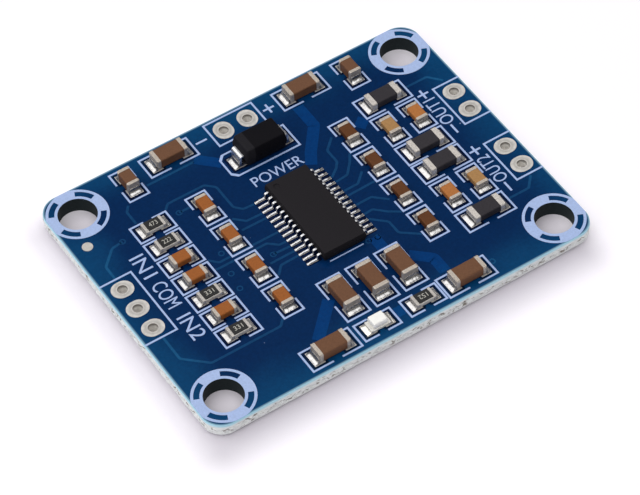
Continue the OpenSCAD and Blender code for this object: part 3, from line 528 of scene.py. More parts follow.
def lead_tree():
    """Lead: a strip with soft edges along its bent path, a little wider at the body than at its foot."""
    tree, source = geometry_tree("lead", Width="Float", Thickness="Float", Bend="Float", Edge="Float",
                                 Finish="Material")
    curve = add(tree, "GeometryNodeMeshToCurve", {0: source["Geometry"]}).outputs[0]
    bent = add(tree, "GeometryNodeFilletCurve", {0: curve, 1: 8, 2: source["Bend"], 3: True},
               mode="POLY").outputs[0]
    block = add(tree, "GeometryNodeCurvePrimitiveQuadrilateral", {0: source["Width"], 1: source["Thickness"]},
                mode="RECTANGLE").outputs[0]
    section = add(tree, "GeometryNodeFilletCurve", {0: block, 1: 3, 2: source["Edge"], 3: True},
                  mode="POLY").outputs[0]
    at_body, at_foot = 1.15, 0.95
    along = add(tree, "GeometryNodeSplineParameter").outputs[0]
    scale = add(tree, "ShaderNodeMapRange", {0: along, 1: 0.25, 2: 0.6, 3: at_body, 4: at_foot}).outputs[0]
    strip = add(tree, "GeometryNodeCurveToMesh", {0: bent, 1: section, 2: scale, 3: True}).outputs[0]
    return end_tree(tree, source, strip)


def repeat_tree():
    """Repeats: one shape at each point, turned and stretched by the point's own values, with an uneven skin."""
    tree, source = geometry_tree("repeats", Shape="Object", Ripple="Float", Grain="Float", Finish="Material")
    shape = add(tree, "GeometryNodeObjectInfo", {0: source["Shape"]}).outputs["Geometry"]
    turn = add(tree, "GeometryNodeInputNamedAttribute", {0: "turn"}, data_type="FLOAT").outputs[0]
    spin = add(tree, "FunctionNodeAxisAngleToRotation", {0: (0.0, 0.0, 1.0), 1: turn}).outputs[0]
    reach = add(tree, "GeometryNodeInputNamedAttribute", {0: "reach"}, data_type="FLOAT_VECTOR").outputs[0]
    copies = add(tree, "GeometryNodeInstanceOnPoints",
                 {0: source["Geometry"], 2: shape, 5: spin, 6: reach}).outputs[0]
    real = add(tree, "GeometryNodeRealizeInstances", {0: copies}).outputs[0]
    place = add(tree, "GeometryNodeInputPosition").outputs[0]
    pitch = add(tree, "ShaderNodeMath", {0: 1.0, 1: source["Grain"]}, operation="DIVIDE").outputs[0]
    swell = add(tree, "ShaderNodeTexNoise", {"Vector": place, "Scale": pitch, "Detail": 1.0}).outputs["Fac"]
    lift = add(tree, "ShaderNodeMapRange", {0: swell, 1: 0.2, 2: 0.8, 3: -0.7, 4: 0.3}).outputs[0]
    amount = add(tree, "ShaderNodeMath", {0: lift, 1: source["Ripple"]}, operation="MULTIPLY").outputs[0]
    skin = add(tree, "GeometryNodeInputNormal").outputs[0]
    offset = add(tree, "ShaderNodeVectorMath", {0: skin, 3: amount}, operation="SCALE").outputs[0]
    free = add(tree, "GeometryNodeInputNamedAttribute", {0: "free"}, data_type="BOOLEAN").outputs[0]
    uneven = add(tree, "GeometryNodeSetPosition", {0: real, 1: free, 3: offset}).outputs[0]
    smooth = add(tree, "GeometryNodeSetShadeSmooth", {0: uneven}).outputs[0]
    return end_tree(tree, source, smooth)


def points_mesh(name, rows):
    """Points with a turn and a reach, from rows of (place, turn, reach)."""
    mesh = bpy.data.meshes.new(name)
    mesh.from_pydata([row[0] for row in rows], [], [])
    mesh.attributes.new("turn", "FLOAT", "POINT").data.foreach_set("value", [row[1] for row in rows])
    reaches = [value for row in rows for value in row[2]]
    mesh.attributes.new("reach", "FLOAT_VECTOR", "POINT").data.foreach_set("vector", reaches)
    return mesh


def repeated(name, shape, rows, finish, ripple=0.0, grain=0.3 * MM):
    """One piece from a shape repeated along rows of points."""
    unit = show(name + "_unit", shape)
    piece = grown(name, points_mesh(name, rows), repeat_tree(),
                  {"Shape": unit, "Ripple": ripple, "Grain": grain, "Finish": finish})
    bpy.data.objects.remove(unit)
    return piece


def ring(bm, points):
    """Closed ring of points."""
    return [bm.verts.new(p) for p in points]


def band(bm, first, second, slot):
    """Band of faces between two rings of the same count."""
    for i in range(len(first)):
        bm.faces.new((first[i - 1], first[i], second[i], second[i - 1])).material_index = slot


def fill(bm, rings, slot):
    """Flat face inside the first ring, open inside the others."""
    edges = [bm.edges.get((r[i - 1], r[i])) for r in rings for i in range(len(r))]
    made = bmesh.ops.triangle_fill(bm, use_beauty=True, edges=edges)
    for item in made["geom"]:
        if isinstance(item, bmesh.types.BMFace):
            item.material_index = slot


def circle(x, y, z, r, count):
    """Points round a circle."""
    return [(x + r * math.cos(2 * math.pi * i / count), y + r * math.sin(2 * math.pi * i / count), z)
            for i in range(count)]


def oval(x, y, z, long, wide, upright, count):
    """Points round an oblong with round ends, long along X or upright along Y."""
    half = (long - wide) / 2
    points = []
    for px, py, pz in circle(0.0, 0.0, z, wide / 2, count):
        px += math.copysign(half, px)
        points.append((x - py, y + px, pz) if upright else (x + px, y + py, pz))
    return points


def rounded_outline(half_x, half_y, r, step):
    """Points round the board with their outward directions, as (x, y, nx, ny)."""
    rows = []
    arc = max(4, round(r * math.pi / 2 / step))
    long, wide = half_x - r, half_y - r
    corners = [(long, wide), (-long, wide), (-long, -wide), (long, -wide)]
    for k, (cx, cy) in enumerate(corners):
        for i in range(arc + 1):
            a = (k + i / arc) * math.pi / 2
            rows.append((cx + r * math.cos(a), cy + r * math.sin(a), math.cos(a), math.sin(a)))
        nx, ny = rows[-1][2:]
        ex, ey = corners[(k + 1) % 4]
        run = abs(ex - cx) + abs(ey - cy)
        count = round(run / step)
        for i in range(1, count):
            rows.append((cx + (ex - cx) * i / count + r * nx, cy + (ey - cy) * i / count + r * ny, nx, ny))
    return rows


def plain_mesh(name, bm, *materials):
    """Mesh from bmesh, smooth except at its sharp edges."""
    mesh = bpy.data.meshes.new(name)
    bm.to_mesh(mesh)
    bm.free()
    for material in materials:
        mesh.materials.append(material)
    mesh.shade_smooth()
    mesh.set_sharp_from_angle(angle=math.radians(35))
    return mesh


def rounded_ring(middle, half_x, half_y, r, z, arc=5):
    """Points round a rectangle with round corners."""
    points = []
    for k, (sx, sy) in enumerate(((1, 1), (-1, 1), (-1, -1), (1, -1))):
        for i in range(arc + 1):
            a = (k + i / arc) * math.pi / 2
            points.append((middle.x + sx * (half_x - r) + r * math.cos(a),
                           middle.y + sy * (half_y - r) + r * math.sin(a), z))
    return points


def moulding(name, node, edge, parting, draft, material, dimple=None):
    """Moulded body in a node's box: draft above and below its parting band, round edges, and a dimple if one is
    given as (x, y, radius, depth)."""
    low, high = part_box(node)
    middle, half = (low + high) / 2, (high - low) / 2
    slope = math.tan(draft)
    taper = (half.z - parting / 2 - edge) * slope
    turns = [math.radians(t) for t in (0, 22.5, 45, 67.5, 90)]
    rim = [(half.z - edge * (1 - math.sin(t)), taper + edge * (1 - math.cos(t))) for t in turns]
    levels = [(-z, inset) for z, inset in reversed(rim)] + [(-parting / 2, 0.0), (parting / 2, 0.0)] + rim
    bm = bmesh.new()
    rings = [ring(bm, rounded_ring(middle, half.x - inset, half.y - inset, edge, middle.z + z))
             for z, inset in levels]
    for lower, upper in zip(rings, rings[1:]):
        band(bm, lower, upper, 0)
    fill(bm, [rings[0]], 0)
    if dimple:
        x, y, r, depth = dimple
        section = [(r, high.z), (0.94 * r, high.z - 0.7 * depth), (0.8 * r, high.z - depth)]
        bowl = [ring(bm, circle(x, y, z, radius, 40)) for radius, z in section]
        for outer, inner in zip(bowl, bowl[1:]):
            band(bm, outer, inner, 0)
        fill(bm, [bowl[-1]], 0)
        fill(bm, [rings[-1], bowl[0]], 0)
    else:
        fill(bm, [rings[-1]], 0)
    bmesh.ops.recalc_face_normals(bm, faces=bm.faces)
    return show(name, plain_mesh(name, bm, material))


# Heights of the rings of points up the board's edge, in millimetres
EDGE_HEIGHTS = [0.0, 0.05, 0.2, 0.34, 0.42, 0.52, 0.62, 0.72, 0.82, 0.92, 1.02, 1.12, 1.2, 1.3, 1.44, 1.55, 1.6]


class AMPLIFIER_OT_laminate(bpy.types.Operator):
    """Board with scored, broken edges, drilled holes and a masked face on both sides"""
    bl_idname = "amplifier.laminate"
    bl_label = "Laminate"

    def execute(self, context):
        sizes, colours = context.scene.board_sizes, context.scene.board_colours
        low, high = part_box("circuit_board")
        top = high.z
        rows = rounded_outline(high.x, high.y, sizes.corner, sizes.outline_step)
        bm = bmesh.new()
        rims = []
        for z in (height * MM for height in EDGE_HEIGHTS):
            deep = min(z, top - z)
            inset = sizes.lower_inset if z < top / 2 else sizes.score_inset
            score = inset * max(0.0, 1 - deep / sizes.score_depth)
            web = min(1.0, max(0.0, deep / sizes.score_depth - 0.75) / 0.35)
            points = []
            for x, y, nx, ny in rows:
                spot = Vector((x, y, 1.6 * z)) / sizes.pit_size
                pit = 0.3 + noise.noise(spot) + 0.6 * noise.noise(spot * 2.3)
                cut = score + web * sizes.pit_depth * min(1.0, max(0.0, pit))
                points.append((x - nx * cut, y - ny * cut, z))
            rims.append(ring(bm, points))
        for lower, upper in zip(rims, rims[1:]):
            band(bm, upper, lower, 1)
        above, below = [rims[-1]], [rims[0]]
        for mount in frame["record"]["mounts"]:
            if mount["kind"] != "bore":
                continue
            x, y = mount["pos_m"][:2]
            if "mounting" in mount["name"]:
                r = mount["dims"]["r_mm"] * MM
                walls = [ring(bm, circle(x, y, top * i / 4, r, 72)) for i in range(5)]
                for lower, upper in zip(walls, walls[1:]):
                    band(bm, lower, upper, 2)
                above.append(walls[-1])
                below.append(walls[0])
                continue
            r = mount["dims"]["r_mm"] * MM + sizes.eyelet_wall
            upright = abs(y) > abs(x)
            inner = ring(bm, circle(x, y, sizes.eyelet_seat, r, 48))
            outer = ring(bm, circle(x, y, top, r, 48))
            lip, step = (ring(bm, oval(x, y, z, sizes.eyelet_long, sizes.eyelet_wide, upright, 48))
                         for z in (0.0, sizes.eyelet_seat))
            band(bm, inner, outer, 2)
            band(bm, lip, step, 0)
            fill(bm, [step, inner], 0)
            above.append(outer)
            below.append(lip)
        fill(bm, above, 0)
        fill(bm, below, 0)
        bmesh.ops.recalc_face_normals(bm, faces=bm.faces)
        mask = mask_finish("copper plane", colours.mask, colours.mask_rim, colours)
        mesh = plain_mesh("laminate", bm, mask, edge_finish(colours), hole_shade_finish(colours))
        settle(show("laminate", mesh), "solder_mask", "circuit_board")
        return {"FINISHED"}


# Tracks seen through the mask, in millimetres on the board's upper face
SUPPLY_TRACKS = [
    [(5.8, 11.7), (5.8, 9.0), (3.8, 6.5), (3.0, 5.2)],
    [(-5.3, 11.7), (-3.5, 9.9)],
    [(10.0, 7.2), (9.0, 6.4)],
    [(-4.2, -8.5), (-7.4, -11.7)],
    [(4.3, -8.3), (5.9, -9.8), (5.9, -11.6)],
    [(2.9, -4.9), (2.9, -6.4)],
    [(-0.3, -13.0), (0.5, -13.0)],
]
SIGNAL_TRACKS = [
    [(-18.25, 3.8), (-18.25, 5.5), (-16.7, 7.0), (-15.55, 7.15)],
    [(-18.2, -3.9), (-18.2, -6.7), (-16.2, -8.6), (-9.2, -8.6), (-8.6, -8.0)],
    [(-13.0, 10.4), (-13.5, 9.8), (-13.5, 8.2)],
    [(-10.5, 8.1), (-10.0, 8.6), (-6.2, 8.6), (-5.4, 7.8), (-5.4, 5.0), (-4.8, 4.3), (-3.7, 4.22)],
    [(-3.7, 2.92), (-5.3, 2.97), (-6.2, 3.9)],
    [(-3.7, 2.27), (-6.2, 2.3)],
    [(-3.7, 0.33), (-9.8, 0.35), (-10.5, 1.1)],
    [(-10.5, -0.2), (-5.2, -0.2), (-4.4, -0.95), (-3.7, -0.98)],
    [(-3.7, -1.62), (-5.4, -1.55)],
    [(-3.7, -2.27), (-6.2, -2.3)],
    [(-3.7, -2.92), (-5.5, -2.95), (-6.3, -3.8)],
    [(-9.7, 7.15), (-8.6, 7.15)],
    [(-10.4, 11.45), (-5.5, 11.45)],
    [(3.7, 2.92), (4.6, 3.6), (5.1, 4.2), (5.1, 5.8), (6.3, 6.9)],
    [(3.7, 2.27), (5.0, 2.4), (6.0, 3.5), (6.6, 4.4)],
    [(3.7, 0.98), (5.2, 1.0), (6.3, 2.0)],
    [(3.7, 0.33), (6.6, 0.4)],
    [(3.7, -0.98), (5.3, -0.95), (6.5, -2.1)],
    [(3.7, -2.27), (4.6, -2.2), (5.6, -3.2), (6.6, -3.9)],
    [(3.7, -2.92), (5.0, -4.2), (5.0, -5.7), (6.6, -7.0)],
    [(15.2, -8.0), (17.4, -8.0), (18.4, -6.9)],
    [(15.3, 8.1), (17.5, 8.1), (18.5, 6.9)],
]
VIAS = [(-15.55, 7.15), (-9.7, 7.15), (-9.1, 1.1), (-9.6, -1.3), (-9.85, -3.1), (-5.4, -1.55), (9.9, -13.0),
        (2.3, -5.0), (3.2, -5.1)]


def chains_mesh(name, chains, z):
    """Mesh of edges along chains of points."""
    points, edges = [], []
    for chain in chains:
        edges += [(len(points) + i, len(points) + i + 1) for i in range(len(chain) - 1)]
        points += [(x * MM, y * MM, z) for x, y in chain]
    mesh = bpy.data.meshes.new(name)
    mesh.from_pydata(points, edges, [])
    return mesh


def via_shape():
    """Flat ring with a shallow dimple, of unit radius and unit height."""
    bm = bmesh.new()
    section = [(1.0, -1.0), (0.9, 1.0), (0.62, 1.0), (0.45, -1.0)]
    rings = [ring(bm, circle(0.0, 0.0, z, r, 28)) for r, z in section]
    for i in range(len(rings)):
        band(bm, rings[i - 1], rings[i], 0)
    bmesh.ops.recalc_face_normals(bm, faces=bm.faces)
    mesh = bpy.data.meshes.new("via")
    bm.to_mesh(mesh)
    bm.free()
    return mesh


def plate_shape():
    """Flat plate of unit sides and unit height on z = 0."""
    bm = bmesh.new()
    bmesh.ops.create_cube(bm, size=1.0, matrix=Matrix.Translation((0.0, 0.0, 0.5)))
    bmesh.ops.bevel(bm, geom=[e for e in bm.edges if abs(e.verts[0].co.z - e.verts[1].co.z) > 0.5], offset=0.08,
                    segments=3, profile=0.5, affect="EDGES")
    mesh = bpy.data.meshes.new("plate")
    bm.to_mesh(mesh)
    bm.free()
    return mesh


def part_ends(sizes):
    """Ends of the two-ended parts, as rows of (end, turn, toe, width, height) with the end on the pad's face."""
    rows = []
    small = [n for stem in ("resistor", "input_capacitor", "bootstrap_capacitor", "output_capacitor",
                            "corner_capacitor") for n in family(stem)] + ["lamp_base"]
    large = family("supply_capacitor") + family("output_bead")
    for nodes, toe in ((small, sizes.small_toe), (large, sizes.large_toe)):
        for node in nodes:
            low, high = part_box(node)
            middle, span = (low + high) / 2, high - low
            upright = span.y > span.x
            half = max(span.x, span.y) / 2 + sizes.plating
            width = min(span.x, span.y) + 2 * sizes.plating
            rise = (span.z + 2 * sizes.plating) * sizes.solder_rise
            for side in (0, 1):
                turn = side * math.pi + (math.pi / 2 if upright else 0.0)
                end = Vector((middle.x, middle.y, low.z - sizes.plating))
                end += half * Vector((math.cos(turn), math.sin(turn), 0.0))
                rows.append((end, turn, toe, width, rise))
    low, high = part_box("diode_terminals")
    for x, turn in ((high.x, 0.0), (low.x, math.pi)):
        end = Vector((x, (low.y + high.y) / 2, low.z))
        rows.append((end, turn, sizes.large_toe, high.y - low.y, (high.z - low.z) * 0.4))
    return rows


def lead_tips(sizes):
    """Tips of the chip's leads, as rows of (end, turn)."""
    rows = []
    for node, turn in (("chip_right_leads", 0.0), ("chip_left_leads", math.pi)):
        low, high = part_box(node)
        x = high.x if turn == 0.0 else low.x
        for i in range(sizes.lead_count):
            rows.append((Vector((x, (i - (sizes.lead_count - 1) / 2) * sizes.lead_pitch, low.z)), turn))
    return rows


class AMPLIFIER_OT_tracks(bpy.types.Operator):
    """Copper tracks, vias and pad clearances that show through the mask"""
    bl_idname = "amplifier.tracks"
    bl_label = "Tracks"

    def execute(self, context):
        sizes, colours = context.scene.board_sizes, context.scene.board_colours
        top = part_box("circuit_board")[1].z
        signal = mask_finish("signal copper", colours.signal, colours.signal_rim, colours)
        supply = mask_finish("supply copper", colours.supply, colours.supply_rim, colours)
        bare = mask_finish("bare laminate", colours.bare, colours.bare_rim, colours)
        tree = track_tree()
        for name, chains, width, finish in (("signal_tracks", SIGNAL_TRACKS, sizes.signal_width, signal),
                                            ("supply_tracks", SUPPLY_TRACKS, sizes.supply_width, supply)):
            piece = grown(name, chains_mesh(name, chains, top), tree,
                          {"Width": width, "Rise": sizes.track_rise, "Bend": sizes.track_bend, "Finish": finish})
            settle(piece, "solder_mask")
        vias = [((x * MM, y * MM, top), 0.0, (sizes.via_radius, sizes.via_radius, sizes.track_rise))
                for x, y in VIAS]
        settle(repeated("vias", via_shape(), vias, signal), "solder_mask")
        rows = []
        level, border = top - sizes.film_sink, 2 * sizes.clearance
        for end, turn, toe, width, rise in part_ends(sizes):
            out = Vector((math.cos(turn), math.sin(turn), 0.0))
            middle = end + out * (toe - sizes.pad_heel) / 2
            rows.append(((middle.x, middle.y, level), turn,
                         (toe + sizes.pad_heel + border, width + border, sizes.film)))
        low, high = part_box("chip_pads")
        for side in (1, -1):
            rows.append(((side * (high.x - sizes.chip_row / 2), 0.0, level), 0.0,
                         (sizes.chip_row, high.y - low.y + sizes.clearance, sizes.film)))
        settle(repeated("pad_clearances", plate_shape(), rows, bare), "solder_mask")
        return {"FINISHED"}


# Generic legends, as (word, x, y, width, height of a capital, quarter turns anticlockwise), in millimetres
LEGENDS = [
    ("POWER", 0.12, 6.33, 5.2, 1.15, 0),
    ("IN1", -15.5, 3.7, 2.7, 1.4, -1), ("COM", -15.5, -0.1, 3.1, 1.4, -1), ("IN2", -15.5, -4.3, 2.9, 1.4, -1),
    ("OUT1", 16.05, 4.0, 3.4, 1.3, 1), ("OUT2", 16.05, -4.3, 3.4, 1.3, 1),
]
# Polarity signs, as (x, y, whether it is a plus)
SIGNS = [(-3.65, 13.12, False), (3.5, 13.05, True), (16.0, 6.5, True), (16.0, 1.5, False), (16.0, -1.7, True),
         (16.0, -6.8, False)]


def word_mesh(word, width, height, thickness):
    """Mesh of a word, its middle at the origin and its face at z = 0."""
    curve = bpy.data.curves.new(word, "FONT")
    curve.body = word
    curve.align_x = "CENTER"
    curve.extrude = 0.5
    curve.resolution_u = 5
    holder = show(word, curve)
    graph = bpy.context.evaluated_depsgraph_get()
    mesh = bpy.data.meshes.new_from_object(holder.evaluated_get(graph), depsgraph=graph)
    bpy.data.objects.remove(holder)
    bm = bmesh.new()
    bm.from_mesh(mesh)
    bmesh.ops.remove_doubles(bm, verts=bm.verts, dist=1e-4)
    xs, ys = ([v.co[k] for v in bm.verts] for k in (0, 1))
    centre = Vector(((min(xs) + max(xs)) / 2, (min(ys) + max(ys)) / 2, 0.5))
    scale = Vector((width / (max(xs) - min(xs)), height / (max(ys) - min(ys)), thickness))
    for v in bm.verts:
        v.co = (v.co - centre) * scale
    bmesh.ops.recalc_face_normals(bm, faces=bm.faces)
    return bm


def place_word(bm, source, x, y, z, turn):
    """Adds a word to a growing mesh at its place."""
    source.transform(Matrix.Translation((x, y, z)) @ Matrix.Rotation(turn, 4, "Z"))
    part = bpy.data.meshes.new("word")
    source.to_mesh(part)
    source.free()
    bm.from_mesh(part)
    bpy.data.meshes.remove(part)


def bar(bm, x, y, z, long, wide, thick):
    """Adds a flat bar to a growing mesh, its top at z."""
    matrix = Matrix.Translation((x, y, z - thick / 2)) @ Matrix.Diagonal((long, wide, thick, 1.0))
    bmesh.ops.create_cube(bm, size=1.0, matrix=matrix)


class AMPLIFIER_OT_print(bpy.types.Operator):
    """Screen-printed rings, frames, generic words and polarity signs"""
    bl_idname = "amplifier.print"
    bl_label = "Print"

    def execute(self, context):
        sizes, colours = context.scene.board_sizes, context.scene.board_colours
        # Pale epoxy ink: matt, a little thin and blue where the mask shows through the screen's mesh
        ink = surface("epoxy ink, screen printed", colours.ink, tone=0.1, grain=0.14 * MM, rough=(0.45, 0.65),
                      relief=0.004 * MM, Specular_IOR_Level=0.25)
        dress(ink, "hole_rings", "outline_print")
        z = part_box("outline_print")[1].z
        bm = bmesh.new()
        for word, x, y, width, height, quarters in LEGENDS:
            letters = word_mesh(word, width * MM, height * MM, sizes.ink * 2)
            place_word(bm, letters, x * MM, y * MM, z, quarters * math.pi / 2)
        arm, stroke = sizes.sign_arm, sizes.sign_stroke
        for x, y, plus in SIGNS:
            upright = abs(x) > 10
            across = (stroke, arm) if upright else (arm, stroke)
            bar(bm, x * MM, y * MM, z, across[0], across[1], sizes.ink * 2)
            if plus:
                stub = (arm - stroke) / 2
                for side in (-1, 1):
                    shift = side * (stub + stroke) / 2
                    dx, dy, long, wide = (shift, 0.0, stub, stroke) if upright else (0.0, shift, stroke, stub)
                    bar(bm, x * MM + dx, y * MM + dy, z, long, wide, sizes.ink * 2)
        settle(show("legends", plain_mesh("legends", bm, ink)), "print_ink")
        return {"FINISHED"}


class AMPLIFIER_OT_pads(bpy.types.Operator):
    """Tinned pads, plated wire holes and leads"""
    bl_idname = "amplifier.pads"
    bl_label = "Pads and leads"

    def execute(self, context):
        sizes, colours = context.scene.board_sizes, context.scene.board_colours
        # Hot-air levelled tin: a dull warm grey with a slightly frosted, uneven face
        tin = surface("tin, hot-air levelled", colours.tin, tone=0.14, grain=0.3 * MM, rough=(0.4, 0.62),
                      relief=0.03 * MM, Metallic=0.2)
        dress(tin, "part_pads", "chip_pads", "test_pad")
        for node in ("audio_input_eyelets", "board_power_eyelets", "audio_left_eyelets", "audio_right_eyelets"):
            dress(eyelet_finish(node, colours), node)
        # Fired silver with matt tin over it: a warm, dull end cap with a granular face
        for node, colour, part in (("small_capacitor_caps", colours.cap, "capacitors"),
                                   ("supply_capacitor_caps", colours.cap, "supply capacitors"),
                                   ("resistor_caps", colours.resistor_cap, "resistors"),
                                   ("output_bead_caps", colours.bead_cap, "beads"),
                                   ("lamp_terminals", colours.lamp_cap, "lamp")):
            dress(surface("matt tin, barrel plated on " + part, colour, tone=0.14, grain=0.16 * MM,
                          rough=(0.34, 0.52), relief=0.018 * MM, Metallic=0.55), node)
        # Rolled and tinned copper strip: brighter and finer than the levelled pads
        strip = surface("copper strip, tinned", colours.strip, tone=0.1, grain=0.12 * MM, rough=(0.22, 0.4),
                        relief=0.006 * MM, Metallic=1.0)
        dress(strip, "diode_terminals", "chip_heat_pad")
        low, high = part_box("chip_right_leads")
        upper, lower = high.z - sizes.lead_thickness / 2, low.z + sizes.lead_thickness / 2
        leg = low.x + sizes.lead_leg
        path = bpy.data.meshes.new("lead path")
        path.from_pydata([(low.x, 0.0, upper), (leg, 0.0, upper), (leg, 0.0, lower), (high.x, 0.0, lower)],
                         [(0, 1), (1, 2), (2, 3)], [])
        lead = grown("lead", path, lead_tree(),
                     {"Width": sizes.lead_width, "Thickness": sizes.lead_thickness, "Bend": sizes.lead_bend,
                      "Edge": sizes.lead_edge, "Finish": strip})
        unit = lead.data
        bpy.data.objects.remove(lead)
        rows = [((0.0, end.y, 0.0), turn, (1.0, 1.0, 1.0)) for end, turn in lead_tips(sizes)]
        leads = repeated("chip_leads", unit, rows, strip)
        leads.data.set_sharp_from_angle(angle=math.radians(14))
        settle(leads, "tinned_copper", "chip_left_leads", "chip_right_leads")
        return {"FINISHED"}


def fillet_shape(hollow, toe, film):
    """Solder fillet of unit reach, width and height. It falls by the power hollow from the part to a toe that is a
    share of its height, and its steep neck gets a painted dark reflection of strength film."""
    count_x, count_y = 14, 10
    narrowing, corner, edge_drop = 0.1, 0.07, 0.7
    bm = bmesh.new()
    sheets = []
    for upper in (True, False):
        grid = []
        for i in range(count_x + 1):
            x = i / count_x
            row = []
            for j in range(count_y + 1):
                across = 2 * j / count_y - 1
                y = 0.5 * across * (1 - narrowing * x ** 6)
                reach = x * (1 - corner * across ** 6)
                rise = (1 - toe) * (1 - x) ** hollow + toe * (1 - x ** 6)
                crown = (1 - edge_drop * across ** 8) * rise
                row.append(bm.verts.new((reach, y, crown if upper else 0.0)))
            grid.append(row)
        sheets.append(grid)
    for grid in sheets:
        for a, b in zip(grid, grid[1:]):
            for j in range(count_y):
                bm.faces.new((a[j], b[j], b[j + 1], a[j + 1]))
    upper, lower = ([g[0] for g in grid] + grid[-1][1:] + [g[-1] for g in grid[-2::-1]] + grid[0][-2:0:-1]
                    for grid in sheets)
    band(bm, upper, lower, 0)
    bmesh.ops.recalc_face_normals(bm, faces=bm.faces)
    free = [v.co.z > 0.0 for v in bm.verts]
    slopes = [hollow * (1 - min(1.0, v.co.x)) ** (hollow - 1) for v in bm.verts]
    mesh = bpy.data.meshes.new("fillet")
    bm.to_mesh(mesh)
    bm.free()
    mesh.attributes.new("free", "BOOLEAN", "POINT").data.foreach_set("value", free)
    # steep says how much of the painted dark reflection a point takes, from the fillet's slope.
    mesh.attributes.new("steep", "FLOAT", "POINT").data.foreach_set(
        "value", [film * min(1.0, max(0.0, slope / 1.4 - 0.35)) for slope in slopes])
    return mesh


class AMPLIFIER_OT_solder(bpy.types.Operator):
    """Solder fillets at the ends of the parts and the tips of the leads"""
    bl_idname = "amplifier.solder"
    bl_label = "Solder"

    def execute(self, context):
        sizes, colours = context.scene.board_sizes, context.scene.board_colours
        solder = solder_finish("solder, reflowed", colours.solder, colours.solder_painted_reflection)
        # Painted light: the solder at the lamp is painted paler than the rest.
        white = solder_finish("solder, reflowed at the lamp", colours.lamp_solder, colours.lamp_solder_painted_reflection)
        low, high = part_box("lamp_terminals")
        rows, lamp_rows = [], []
        for end, turn, toe, width, rise in part_ends(sizes):
            at_lamp = low.x - toe < end.x < high.x + toe and low.y < end.y < high.y
            (lamp_rows if at_lamp else rows).append((end, turn, (toe, width, rise)))
        for name, places, finish, nodes in (("part_fillets", rows, solder, ["part_solder"]),
                                            ("lamp_fillets", lamp_rows, white, [])):
            hollow = fillet_shape(hollow=4.0, toe=0.22, film=0.6)
            fillets = repeated(name, hollow, places, finish, ripple=sizes.ripple, grain=0.35 * MM)
            settle(fillets, "solder", *nodes)
        reach = (sizes.lead_toe, sizes.lead_width, sizes.lead_thickness)
        tips = [(end, turn, reach) for end, turn in lead_tips(sizes)]
        full = fillet_shape(hollow=1.6, toe=0.4, film=0.0)
        fillets = repeated("lead_fillets", full, tips, solder, ripple=sizes.ripple / 3, grain=0.2 * MM)
        settle(fillets, "solder", "lead_solder")
        return {"FINISHED"}


class AMPLIFIER_OT_moulded(bpy.types.Operator):
    """Moulded bodies of the chip and the diode, with rounded edges and bare faces"""
    bl_idname = "amplifier.moulded"
    bl_label = "Chip and diode"

    def execute(self, context):
        sizes, colours = context.scene.board_sizes, context.scene.board_colours
        # Transfer-moulded epoxy: charcoal with the fine spark-eroded grain of the mould
        epoxy = surface("epoxy, transfer moulded", colours.epoxy, tone=0.14, grain=0.09 * MM, rough=(0.55, 0.75),
                        relief=0.006 * MM, Specular_IOR_Level=0.06)
        low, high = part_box("chip_body")
        dimple = (low.x + sizes.dimple_inset, high.y - sizes.dimple_inset, sizes.dimple_radius, sizes.dimple_depth)
        settle(moulding("chip_moulding", "chip_body", sizes.chip_edge, sizes.chip_parting, sizes.draft, epoxy,
                        dimple), "moulded_epoxy", "chip_body")
        settle(moulding("diode_moulding", "diode_body", sizes.diode_edge, sizes.diode_parting, sizes.draft,
                        diode_finish(colours)), "moulded_epoxy", "diode_body")
        return {"FINISHED"}


class AMPLIFIER_OT_lamp(bpy.types.Operator):
    """Indicator lamp with its milky lens"""
    bl_idname = "amplifier.lamp"
    bl_label = "Lamp"

    def execute(self, context):
        sizes, colours = context.scene.board_sizes, context.scene.board_colours
        # Cast epoxy with a white filler: milky, smooth, and soft at its edges
        lens = surface("epoxy, cast milky", colours.lens, tone=0.03, grain=0.5 * MM, rough=(0.3, 0.4),
                       relief=0.002 * MM)
        settle(moulding("lens_moulding", "lamp_lens", sizes.lens_edge, sizes.lens_parting, sizes.draft, lens),
               "lamp_lens", "lamp_lens")
        # Sawn white laminate: chalky, with a fine saw grain
        dress(surface("white laminate, sawn", colours.lamp_base, tone=0.06, grain=0.1 * MM, rough=(0.5, 0.7),
                      relief=0.006 * MM), "lamp_base")
        return {"FINISHED"}


# Plain numbers on the resistors, in the order of their nodes, as (number, half turns)
RESISTOR_NUMBERS = [("473", 0), ("222", 0), ("331", 0), ("331", 0), ("152", 1)]


class AMPLIFIER_OT_resistors(bpy.types.Operator):
    """Chip resistors with black overcoats and plain printed numbers"""
    bl_idname = "amplifier.resistors"
    bl_label = "Resistors"

    def execute(self, context):
        sizes, colours = context.scene.board_sizes, context.scene.board_colours
        # Pressed and fired alumina: chalky white with a fine grain
        dress(surface("alumina, fired", colours.alumina, tone=0.06, grain=0.08 * MM, rough=(0.5, 0.7),
                      relief=0.006 * MM), *family("resistor"))
        # Screen-printed glass: black, glossy, a little wavy
        dress(surface("lead glass, fired overcoat", colours.glaze, tone=0.2, grain=0.3 * MM, rough=(0.25, 0.4),
                      relief=0.01 * MM, Specular_IOR_Level=0.3), "resistor_overcoats")
        # Pale enamel of the numbers: thin, with soft broken edges
        enamel = surface("enamel, fired digits", colours.digits, tone=0.18, grain=0.08 * MM, rough=(0.5, 0.7),
                         relief=0.003 * MM)
        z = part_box("resistor_overcoats")[1].z
        bm = bmesh.new()
        for node, (number, turns) in zip(family("resistor"), RESISTOR_NUMBERS):
            low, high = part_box(node)
            middle = (low + high) / 2
            letters = word_mesh(number, sizes.digits_width, sizes.digits_height, sizes.enamel)
            place_word(bm, letters, middle.x, middle.y, z + sizes.enamel / 2, turns * math.pi)
        settle(show("resistor_numbers", plain_mesh("resistor_numbers", bm, enamel)), "print_ink")
        return {"FINISHED"}


